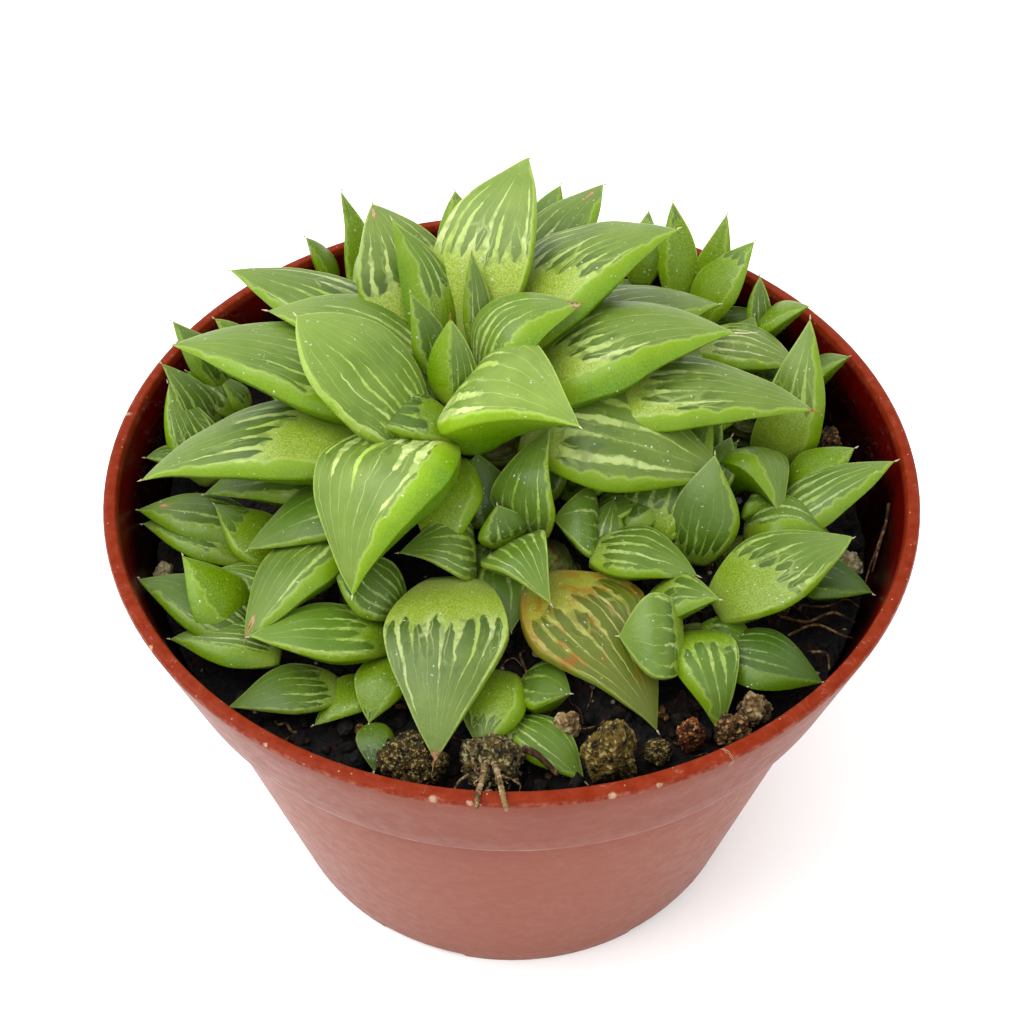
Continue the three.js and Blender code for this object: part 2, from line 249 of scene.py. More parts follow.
def leaf_material():
    """Pale at the base, then grey-green windows between pale lines that run to the tip. What
    differs from leaf to leaf comes from the mesh's attributes."""
    m = Shader("leaf_skin")
    here = m.place()
    s, t, rim = m.split(m.attribute("leaf_place"))
    base, lines, end = m.split(m.attribute("leaf_pattern"))
    dark, blue, green = m.split(m.attribute("leaf_tone"))
    dry, scar, blush = m.split(m.attribute("leaf_wear"))
    own = m.attribute("leaf_seed", ATTRIBUTE_FACTOR) * 40
    crease, heavy, light = m.split(m.attribute("leaf_extra"))

    # Lines run at a steady share of the leaf's width, so that they meet at the tip.
    sway = m.noise(m.vector(s * 3, t * 1.6, own), 1, 1)
    quiver = m.noise(m.vector(s * 20, t * 6, own), 1, 1)
    wander = (sway - 0.5) * 0.3 + (quiver - 0.5) * 0.07
    column = (t + wander) * lines * 0.5 + own
    between = abs(m.fract(column) - 0.5)
    line_draw = m.draw(m.floor(column), own)[1]
    window_draw = m.draw(m.floor(column + 0.5), own + 9)[0]
    line_reach, line_bold, line_light = m.split(line_draw)

    # Each window starts in a rounded finger of its own height above the pale base.
    start = base + (window_draw - 0.5) * 0.12 + (quiver - 0.5) * 0.07
    beyond = s - start
    opened = m.share(beyond, 0.055) ** 0.5
    span = (end - base) * (0.22 + line_reach * 0.8)
    run = m.share(s - base, span)
    blobs = m.noise(m.vector(s * 24, column, own), 1, 1)
    bold = (0.1 + line_bold * 0.07) * (0.35 + blobs * 1.3) * heavy
    bold = bold * (m.step(run, 1, 0, 0.35, 1.25) * m.step(run, 1, 0.93))
    half = bold + (0.56 - bold) * (1 - opened)
    pale = m.step(between, half + 0.05, half - 0.04)
    dashes = m.noise(m.vector(s * 15, column + 3, own), 1, 2)
    faded = m.most(m.step(dashes, 0.36, 0.56, 0.45, 1), 1 - opened)
    pale = pale * faded
    fine_column = ((t + wander) * lines + own) * 1.3
    hair = abs(m.fract(fine_column) - 0.5)
    hair_at = m.noise(m.vector(s * 7, fine_column, own), 1, 2)
    hair = m.step(hair, 0.16, 0.04) * m.step(hair_at, 0.52, 0.68, 0, 0.26)
    pale = m.most(pale, hair * m.step(beyond, 0.02, 0.12))

    # A thin net joins some of the lines.
    net_place = m.vector(column * 1.1, s * 5, own)
    net = m.cells(net_place, 1, "DISTANCE_TO_EDGE")[0]
    net = m.step(net, 0.07, 0.02) * m.step(sway, 0.46, 0.56)
    pale = m.most(pale, net * m.step(beyond, 0.3, 0.1, 0, 0.42))

    # Colours, from the base to the tip.
    fine = m.noise(here, 2.6, 3, 0.6)
    grain = m.noise(here, 4.6, 1, 0.6)
    cloud = m.noise(here, 0.22, 2)
    base_pale = m.mix(m.step(grain, 0.38, 0.62), (156, 180, 62), (188, 208, 98))
    base_pale = m.mix(m.step(s, 0, 0.18, 0.55, 0), base_pale, (212, 222, 136))
    base_green = m.mix(m.step(grain, 0.38, 0.62), (114, 152, 20), (138, 172, 42))
    flesh = m.mix(green, base_pale, base_green)
    line_colour = m.mix(line_light, (180, 208, 92), (224, 236, 166))
    line_colour = m.mix(green * 0.5, line_colour, (146, 188, 54))
    pale_colour = m.mix(m.step(beyond, -0.06, 0.12), flesh, line_colour)

    window = m.mix(m.step(cloud, 0.25, 0.75), (118, 143, 66), (142, 166, 80))
    window = m.mix(green * 0.72, window, (96, 138, 26))
    window = m.mix(dark * 0.35, window, (86, 112, 52))
    # Towards the tip the window turns paler: partly its milky tissue, partly a painted sheen.
    milky_tint_and_painted_sheen = m.step(s, 0.5, 1) * (1 - dark * 0.4)
    window = m.mix(milky_tint_and_painted_sheen * 0.4, window, (156, 184, 86))
    depth = m.step(beyond, 0.2, 0.01) * (0.45 + dark * 0.55)
    spots = m.noise(m.vector(column * 1.6, s * 8, own), 1, 1)
    spots = m.step(spots, 0.56, 0.66) * m.step(beyond, 0.4, 0.15, 0, 0.7)
    depth = m.most(depth, spots * dark)
    window = m.mix(depth * 0.9, window, (74, 98, 42))
    top = m.mix(pale, window, pale_colour)

    # The flank below the window's edge, and the leaf's underside.
    scallop = m.noise(m.vector(s * 11, own), 1, 2)
    scallop = (scallop - 0.5) * (0.3 + crease * 1.5)
    edge = rim + (scallop + (fine - 0.5) * 0.3)
    under = m.mix(m.step(grain, 0.35, 0.65), (94, 138, 2), (120, 162, 12))
    # Painted light and shade: the flank is paler next to the window's edge and the margin, and
    # darker further down towards the keel. This is partly also the leaf's own pale band.
    under = m.mix(m.step(edge, -3.5, 0, 0, 0.65), under, (156, 190, 48))
    under = m.mix(m.step(s, 0.3, 0.02, 0, 0.7), under, (176, 200, 74))
    under = m.mix(m.step(s, 0.5, 1, 0, 0.3), under, (132, 164, 60))
    vein = m.step(between, 0.2, 0.05) * m.step(crease, 0.5, 0)
    vein = vein * m.step(s, 0.15, 0.5) * m.step(dashes, 0.3, 0.6, 0.1, 0.4)
    under = m.mix(vein, under, (158, 190, 84))
    skin = m.mix(m.step(edge, 0.08, -0.12), top, under)
    margin = m.step(abs(edge), 0.3, 0.05, 0, 0.6)
    margin = margin * m.step(crease, 0, 1, 1, 0.7)
    skin = m.mix(margin * m.step(s, 0.1, 0.3), skin, (186, 212, 104))

    # Tints: bluish shade leaves, and the orange blush of a sunburnt one.
    skin = m.mix(blue * 0.62, skin, (50, 82, 34))
    blush_cloud = m.noise(here, 0.34, 3, 0.65)
    blushed = m.step(blush_cloud + pale * 0.1, 0.56, 0.7) * m.step(beyond, -0.3, 0.02)
    blushed = m.most(blushed, m.step(abs(edge), 1.3, 0.2, 0, 0.6) * m.step(s, 0.6, 0.3))
    skin = m.mix(blush * 0.4, skin, m.mix(pale, (128, 122, 44), (196, 160, 72)))
    skin = m.mix(blush * blushed * m.step(s, 0.8, 0.5, 0.3, 0.68), skin, (180, 104, 42))

    # Wear: dry tips, scars, and the white specks that hard water leaves.
    ragged = (fine - 0.5) * 0.03
    dry_from = 1 - dry
    tip = m.step(s + ragged, dry_from - 0.012, dry_from + 0.02)
    tip_colour = m.mix(m.step(fine, 0.35, 0.65), (128, 74, 36), (186, 126, 74))
    dried = m.mix(m.step(fine, 0.4, 0.6), (116, 88, 52), (204, 180, 132))
    tip_colour = m.mix(m.step(dry, 0.04, 0.06), tip_colour, dried)
    skin = m.mix(tip * m.step(dry, 0.004, 0.02), skin, tip_colour)
    awn = m.step(s, 0.998, 1.004)
    skin = m.mix(awn, skin, m.mix(m.step(dry, 0.01, 0.03), (222, 214, 178), (168, 118, 72)))
    scar_at = scar + (m.noise(here, 1.4, 3, 0.7) - 0.5) * 0.9
    skin = m.mix(m.step(scar_at, 0.42, 0.62), skin, (170, 140, 88))
    skin = m.mix(m.step(scar_at, 0.66, 0.8), skin, (206, 184, 140))
    skin = m.mix(m.step(scar_at, 0.6, 0.8) * m.step(scar, 0.8, 1.2), skin,
                 m.mix(m.step(fine, 0.4, 0.6), (152, 66, 36), (206, 134, 92)))
    wobble = m.node("TexNoise", {"Vector": here, "Scale": 2.2})[1]
    fleck_place = m.node("VectorMath", {0: here, 1: m.scaled(wobble, 0.7)})[0]
    fleck_off, fleck_colour = m.cells(fleck_place, 1.4)
    fleck_draw = m.split(fleck_colour)[0]
    fleck = m.step(fleck_off, fleck_draw * 0.26, 0.07)
    fleck = fleck * m.step(m.noise(here, 0.3, 3) + pale * 0.08, 0.51, 0.58)
    fleck = fleck * m.step(fleck_draw, 0.3, 0.4)
    skin = m.mix(fleck * 0.9, skin, (240, 243, 226))
    # The whole leaf is scaled lighter or darker: partly its own tone, partly painted light and
    # shade for how much light reaches it.
    skin = m.scaled(skin, light)

    height = grain * 0.4 + (1 - pale) * 0.4
    height = height + m.noise(here, 0.9, 2) * 0.8
    height = height + fleck * 0.5
    m.bump(height, 0.09, 0.8)
    gloss = m.step(fine, 0.2, 0.8, 0.27, 0.38) + m.most(tip, fleck) * 0.3
    return m.finish(skin, gloss, Subsurface_Weight=0.14, Subsurface_Radius=(1, 1.1, 0.4),
                    Subsurface_Scale=1 * MM, Specular_IOR_Level=0.24)


def stem_material():
    """Olive, ringed, with brown patches."""
    m = Shader("stem_skin")
    here = m.place()
    inputs = {0: here, 1: (0.25, 0.25, 1.3)}
    rings = m.noise(m.node("VectorMath", inputs, operation="MULTIPLY")[0], 1, 3, 0.6)
    skin = m.mix(m.step(rings, 0.35, 0.65), (70, 78, 26), (128, 142, 62))
    skin = m.mix(m.step(m.noise(here, 0.5, 3, 0.65), 0.52, 0.68), skin, (94, 66, 38))
    m.bump(rings, 0.5)
    return m.finish(skin, m.step(rings, 0.3, 0.7, 0.75, 0.6), Specular_IOR_Level=0.3)


# Nicks in the rim's near edge (heading, size in mm), where they lie on it, and the heading of a
# crack across it.
RIM_NICKS = [(-143, 0.6), (-121, 0.45), (-99.1, 0.7), (-94.7, 0.5), (-77.9, 0.65), (-72.1, 0.5)]
NICK_HEIGHT, NICK_RADIUS = 68.7, 52.4
RIM_CRACK = -62.4


def pot_material():
    """Thin red-brown plastic: paler along its worn rim, which also has a painted highlight.
    Outside, a painted reflection of the floor pales the lower wall, and a painted shadow lies under
    the band.
    Inside, it is soiled and darkened by painted shade.
    """
    m = Shader("pot_plastic")
    here = m.place()
    x, y, z = m.split(here)
    radius = (x * x + y * y) ** 0.5
    turn = m.math("ARCTAN2", y, x)
    normal_x, normal_y, _ = m.split(m.node("NewGeometry")[GEOMETRY_NORMAL])
    facing = normal_x * x + normal_y * y
    cloud = m.noise(here, 0.06, 3, 0.6)
    mottle = m.noise(here, 0.55, 3, 0.65)
    grain = m.noise(here, 5, 2, 0.6)

    outside = m.mix(m.step(cloud, 0.3, 0.7), (152, 72, 50), (158, 80, 57))
    outside = m.mix(m.step(mottle, 0.45, 0.75, 0, 0.07), outside, (138, 62, 42))
    # Painted reflection of the bright floor: the wall below the band pales towards the bottom.
    outside = m.mix(m.step(z, 53, 40, 0, 0.7), outside, (172, 98, 76))
    crown = m.mix(m.step(mottle, 0.3, 0.7), (146, 58, 38), (160, 70, 50))
    plastic = m.mix(m.step(z, 67.7, 68.5), outside, crown)
    # The inside is darker than the outside: soil stains below a wavy line, and painted shade over
    # the whole inner wall.
    grime_and_shade_line = 60 + mottle * 6
    soiled_and_shaded = m.mix(m.step(mottle, 0.3, 0.62), (26, 9, 7), (54, 14, 9))
    inside = m.mix(m.step(z, grime_and_shade_line, grime_and_shade_line + 4), soiled_and_shaded, (98, 25, 15))
    plastic = m.mix(m.step(facing, 0, -4) * m.step(z, 68.6, 67.6), plastic, inside)

    # Scratches run round the pot, and a few across it.
    ring_place = m.vector(turn * 5, z * 1.7, radius * 0.2)
    scratch = m.noise(ring_place, 1, 4, 0.75)
    scratch = m.step(abs(scratch - 0.5), 0.01, 0) * m.step(mottle, 0.52, 0.66)
    slanted = m.noise(m.vector(turn * 16, z * 0.5 + x * 0.3), 1, 2)
    slant = m.step(abs(slanted - 0.5), 0.006, 0) * m.step(cloud, 0.5, 0.66)
    scratch = m.most(scratch * 0.3, slant * 0.3)
    plastic = m.mix(scratch, plastic, (222, 176, 160))

    # The rim's outer edge is rubbed pale and carries a painted highlight, and it has nicks.
    edge = m.step(radius, 52, 52.35) * m.step(z, 67.9, 68.5)
    rubbed_and_painted_highlight = edge * m.step(m.noise(here, 0.9, 3, 0.7), 0.42, 0.7)
    plastic = m.mix(rubbed_and_painted_highlight * 0.5, plastic, (224, 160, 134))
    # A painted highlight along the band's rounded foot edge, where it faces out.
    painted_band_foot_highlight = m.step(z, 51.9, 52.15) * m.step(z, 52.7, 52.4)
    painted_band_foot_highlight = painted_band_foot_highlight * m.step(m.noise(here, 0.16, 2), 0.35, 0.6, 0.15, 0.6)
    plastic = m.mix(painted_band_foot_highlight * m.step(facing, 0, 4), plastic, (226, 178, 160))
    for heading, size in RIM_NICKS:
        off = (turn - math.radians(heading)) * RIM_RADIUS
        down, back = z - NICK_HEIGHT, radius - NICK_RADIUS
        off = off * off + (down * down + back * back) + (m.noise(here, 2.5) - 0.5) * 0.5
        plastic = m.mix(m.step(off, size ** 2, 0.02) * 0.8, plastic, (228, 196, 164))
    crack = (turn - math.radians(RIM_CRACK)) * RIM_RADIUS
    crack = abs(crack + (radius - 51.8) * -0.5 + (mottle - 0.5) * 1.4)
    on_crack = m.step(z, 66.4, 67.2) * m.step(radius, 50.5, 50.9)
    plastic = m.mix(m.step(crack, 0.17, 0.07) * on_crack, plastic, (216, 164, 124))
    plastic = m.mix(m.step(crack, 0.06, 0.03) * on_crack, plastic, (70, 26, 16))
    speck_off, speck_colour = m.cells(here, 1.3)
    speck = m.step(speck_off, 0.16, 0.08)
    speck = speck * m.step(m.split(speck_colour)[0], 0.72, 0.76)
    plastic = m.mix(speck * m.step(z, 67.9, 68.6) * 0.7, plastic, (226, 196, 164))
    nick_off, nick_colour = m.cells(m.vector(turn * 9, z * 0.2), 1)
    nick = m.step(nick_off, 0.07, 0.03)
    nick = nick * m.step(m.split(nick_colour)[1], 0.62, 0.7)
    nick = nick * (m.step(radius, 51, 51.8) * m.step(z, 67.4, 68.2))
    plastic = m.mix(nick * 0.7, plastic, (226, 188, 164))

    # A painted shadow in the corner under the band, a darker strip along the lowest millimetre of
    # the foot, and soil splashes on the wall's foot.
    painted_shadow_under_band = m.step(z, 48, 52) * m.step(z, 52.4, 51.9)
    plastic = m.mix(painted_shadow_under_band * 0.3, plastic, (120, 58, 46))
    foot_line = m.step(z, 1.2, 0.1)
    plastic = m.mix(foot_line * 0.5, plastic, (112, 50, 38))
    splash = m.step(m.noise(here, 0.33, 4, 0.7), 0.68, 0.74) * m.step(z, 26, 4)
    plastic = m.mix(splash * 0.4, plastic, (104, 62, 44))

    m.bump(mottle * 0.8 + grain * 0.15 + scratch * -0.6, 0.022)
    gloss = m.step(mottle, 0.25, 0.75, 0.28, 0.38) + scratch * 0.2
    return m.finish(plastic, gloss, Specular_IOR_Level=0.05)


def soil_material():
    """Dark peat with a few pale specks."""
    m = Shader("peat")
    here = m.place()
    lumps = m.noise(here, 0.7, 4, 0.7)
    bit_off, bit_colour = m.cells(here, 1.1)
    draw = m.split(bit_colour)
    skin = m.mix(m.step(lumps, 0.3, 0.7), (12, 8, 6), (40, 28, 20))
    skin = m.mix(m.step(draw[0], 0.72, 0.9, 0, 0.6), skin, (66, 46, 30))
    pale = m.step(draw[1], 0.965, 0.975) * m.step(bit_off, 0.34, 0.26)
    skin = m.mix(pale * 0.8, skin, (186, 176, 150))
    m.bump(lumps + bit_off * 0.7, 0.7)
    return m.finish(skin, m.step(lumps, 0.3, 0.7, 0.92, 0.75), Specular_IOR_Level=0.25)


def lump_material(name, shadow, body, light, grain, depth=0.35):
    """A rough natural lump: three colours mixed in grains."""
    m = Shader(name)
    here = m.place()
    coarse = m.noise(here, grain * 0.35, 4, 0.65)
    grain_off, grain_colour = m.cells(here, grain)
    draw = m.split(grain_colour)[0]
    skin = m.mix(m.step(coarse, 0.34, 0.6), shadow, body)
    skin = m.mix(m.step(draw, 0.55, 0.85) * m.step(coarse, 0.38, 0.56), skin, light)
    m.bump(coarse + grain_off * 0.6, depth)
    return m.finish(skin, m.step(draw, 0, 1, 0.8, 0.95), Specular_IOR_Level=0.25)


def floor_material():
    """White paper, uneven by a trace."""
    m = Shader("studio_floor")
    tone = m.noise(m.place(), 0.004, 2)
    paper = m.mix(m.step(tone, 0.3, 0.7), [0.95, 0.95, 0.945, 1], [0.96, 0.96, 0.955, 1])
    return m.finish(paper, 0.9, Specular_IOR_Level=0.1)


# A lump's material: its name, its colours from dark to light, its grains per millimetre, and how
# deep they are where that isn't lump_material()'s own.
LUMP_SKINS = {
    "tan": ("tan_bark", (84, 60, 34), (166, 138, 92), (214, 192, 150), 1.8),
    "moss": ("moss", (24, 18, 8), (92, 76, 34), (188, 166, 104), 3.8),
    "stone": ("mossy_stone_skin", (40, 30, 14), (128, 106, 52), (200, 180, 112), 2.2),
    "root": ("root_bark", (40, 30, 16), (112, 96, 56), (190, 178, 130), 2.6),
    "bark": ("bark_fibre", (30, 18, 10), (110, 78, 46), (188, 152, 104), 2.6),
    "chip": ("bark_chip_skin", (60, 26, 14), (140, 74, 40), (206, 170, 112), 2.6),
    "pebble": ("pebble_skin", (112, 98, 62), (172, 158, 116), (204, 194, 158), 1.6),
    "perlite": ("perlite_grain", (150, 144, 122), (206, 200, 182), (236, 232, 220), 1.3),
    "peat": ("peat_crumb", (12, 8, 6), (36, 25, 18), (74, 54, 36), 1.8),
    "fibre": ("root_fibre", (44, 28, 18), (100, 72, 46), (150, 120, 84), 1.8, 0.1),
}
MATERIALS = {key: lump_material(*skin) for key, skin in LUMP_SKINS.items()}
MATERIALS |= {"leaf": leaf_material(), "stem": stem_material(), "pot": pot_material(),
              "soil": soil_material()}

# ---- Meshes ----


class Body:
    """Vertices, faces and leaf attributes, gathered until they become one piece."""

    def __init__(self):
        self.points, self.faces, self.count = [], [], 0
        self.values = {}

    def add(self, points, faces, values=None):
        self.points.append(np.asarray(points, float))
        self.faces += [[c + self.count for c in face] for face in faces]
        for key, rows in (values or {}).items():
            self.values.setdefault(key, []).append(np.asarray(rows, float))
        self.count += len(points)

    def tube(self, path, radii, sides=8, end=0.6):
        """A tapered tube along a path, with closed, slightly domed ends."""
        path = np.asarray(path, float)
        ahead = np.gradient(path, axis=0)
        ahead /= np.linalg.norm(ahead, axis=1)[:, None]
        across = np.cross(ahead, (0.31, 0.12, 0.94))
        across /= np.linalg.norm(across, axis=1)[:, None]
        over = np.cross(ahead, across)
        turn = turns(sides)
        radii = np.asarray(radii, float)
        spokes = across[:, None] * np.cos(turn)[:, None] + over[:, None] * np.sin(turn)[:, None]
        points = path[:, None] + spokes * radii[:, None, None]
        ends = [path[0] - ahead[0] * radii[0] * end, path[-1] + ahead[-1] * radii[-1] * end]
        rows = len(path)
        self.add(np.vstack([points.reshape(-1, 3), ends]), loft_faces(rows, sides))


def new_object(name, data):
    """An object of the data, linked to the scene."""
    made = bpy.data.objects.new(name, data)
    bpy.context.scene.collection.objects.link(made)
    return made


def loft_faces(rows, sides):
    """Faces of rows of rings, closed by a point at the first ring and one at the last."""
    faces = []
    for row in range(rows - 1):
        for side in range(sides):
            a, b = row * sides + side, row * sides + (side + 1) % sides
            faces.append([a, b, b + sides, a + sides])
    first, last = rows * sides, rows * sides + 1
    for side in range(sides):
        beside = (side + 1) % sides
        faces.append([first, beside, side])
        faces.append([last, (rows - 1) * sides + side, (rows - 1) * sides + beside])
    return faces


def piece(name, body, material, nodes=()):
    """Turns a body into an object that rides on the root, and stands for CAD nodes."""
    mesh = bpy.data.meshes.new(name)
    points = np.vstack(body.points) * MM
    mesh.from_pydata(points.tolist(), [], body.faces)
    for key, rows in body.values.items():
        rows = np.concatenate(rows)
        kind = "FLOAT" if rows.ndim == 1 else "FLOAT_VECTOR"
        field = "value" if rows.ndim == 1 else "vector"
        attribute = mesh.attributes.new(key, kind, "POINT")
        attribute.data.foreach_set(field, rows.astype(np.float32).ravel())
    mesh.materials.append(MATERIALS[material])
    made = new_object(name, mesh)
    shell = bmesh.new()
    shell.from_mesh(mesh)
    bmesh.ops.recalc_face_normals(shell, faces=shell.faces)
    shell.to_mesh(mesh)
    shell.free()
    mesh.shade_smooth()
    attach(made, "root")
    if nodes:
        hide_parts(*nodes)
    return made


# ---- Leaves ----

# Thickness as a share of the width, bow as a share of the length, and how far along the widest
# place is.
HABITS = {
    "broad": (0.5, 0.12, 0.42),
    "bent": (0.6, 0.3, 0.32),
    "hook": (0.6, 0.42, 0.35),
    "wide": (0.36, 0.1, 0.34),
    "spear": (0.48, 0.05, 0.36),
    "flat": (0.36, 0.1, 0.36),
    "blunt": (0.75, 0.15, 0.5),
    "low": (0.45, 0.1, 0.4),
}

# The leaves that the CAD model has, in its order. A row is the middle of the leaf's base x, y, z,
# the heading of its axis from +X, its rise above level, its length and width, its habit, its roll
# about the axis, and a sideways bend as a share of its length. What a row leaves out at its end is
# as in ROW_END.
ROW_END = ("low", 0, 0)
LEAVES = {
    "main": [
        (-8, 0.5, 76, 333, 17, 19, 17, "bent", -6, 0.06),
        (-7, -0.5, 78, 97, 66, 11.5, 6.5, "spear", 0, 0.03),
        (-3.5, 3.5, 77, 27, 34, 16.5, 11, "bent", 0, 0.06),
        (-11.5, -5, 77, 150, 36, 21, 14.5, "broad", 0, 0.03),
        (-10, -3.5, 76, 247, -16, 23.5, 18, "bent", -12),
        (-9.5, 9.5, 78, 120, 50, 18, 8, "spear", 0, -0.07),
        (-5.5, 11, 78, 66, 42, 25.5, 13.5, "broad", 0, 0.04),
        (-11.5, 11.5, 77, 114, 34, 21, 14, "broad", 0, -0.03),
        (-9, 4.5, 76, 165, 20, 24.5, 13, "broad", 0, -0.06),
        (-1.5, 11, 77, 24, 26, 28, 15, "broad", 0, 0.07),
        (1.5, 3.5, 76, 11, 13, 28, 15.5, "broad", 0, 0.06),
        (-12.5, 1, 75, 171, 14, 31.5, 14.5, "broad"),
        (-11, 10.5, 74, 160, 18, 29.5, 12.5, "broad", 0, 0.03),
        (-13.5, -4, 73, 186, -2, 33, 14, "broad", 0, -0.04),
        (-1, 18, 74, 51, 30, 25, 12, "broad"), (2.5, 14, 72.5, 19, 6, 27.5, 13, "broad"),
        (5.5, 3.5, 72.6, 357, 4.4, 33.5, 12.5, "broad", -8, 0.02),
        (1.5, -0.6, 74.6, 351, -11, 26.5, 16, "broad", -16, 0.02),
        (-3, 16, 73, 92, 10, 25, 12.5, "broad", 0, 0.03),
        (4, 17, 71, 66, 4, 26, 12, "broad", 0, -0.04),
        (-8.5, 12.5, 71, 118, 4, 29, 12, "broad", 0, 0.04),
    ],
    "front": [
        (2.5, -11.5, 66, 74, 48, 14, 9, "bent", 15, 0.03),
        (-4.5, -15, 67, 188, 8, 9.5, 9, "bent", 20),
        (-0.5, -15, 68, 300, 0, 10.5, 9, "bent", -10),
        (-7, -18.5, 66, 266, -8, 24.5, 15, "broad"),
        (10, -14, 66, 343, 0, 13.5, 9, "broad", 0, 0.03),
        (3, -17, 64.5, 307, -13, 24.5, 16.5, "wide", 0, 0.04),
    ],
    "low_front": [
        (-0.5, -29, 61, 254, -2, 11.5, 8, "blunt"), (0.5, -35.5, 60, 318, -8, 11, 6.5),
    ],
    "right_front": [
        (20.5, -26.5, 64, 188, 16, 8, 10.5, "bent", 30),
        (21.5, -23.5, 62, 284, -12, 13.5, 9, "bent"), (25.5, -26.5, 62, 340, -2, 12.5, 9),
    ],
    "right": [
        (25, -20.5, 63, 20, 18, 19, 11.5, "broad", 0, -0.02),
        (23, -12.5, 62, 72, 58, 14.5, 9, "broad", 0, -0.04), (33, -7.5, 61, 20, 26, 19.5, 8),
    ],
    "far_right": [
        (25.5, 23, 68, 339, 2, 15, 10, "broad"),
        (35, 4.5, 59.5, 68, 62, 23, 9, "flat", 0, -0.05),
    ],
    "back_right": [
        (24.5, 35, 66, 101, 60, 14.5, 6, "spear"), (27, 31.5, 64.5, 34, 50, 14.5, 8),
    ],
    "back": [
        (-2, 30, 70, 120, 14, 15, 8, "broad"),
    ],
    "back_left": [
        (-21.5, 35.5, 58, 109, 62, 22.5, 6, "spear", 0, -0.04),
    ],
    "left": [
        (-40.5, 4.5, 59, 124, 40, 15, 7.5, "low", 0, 0.04),
    ],
    "left_front": [
        (-20.5, -12.5, 68, 234, -8, 19, 10.5, "broad", -14), (-13.5, -22.5, 65, 155, 25, 10, 9),
        (-14.5, -25.5, 63, 189, 12, 17, 9, "broad", 0, 0.03),
    ],
}

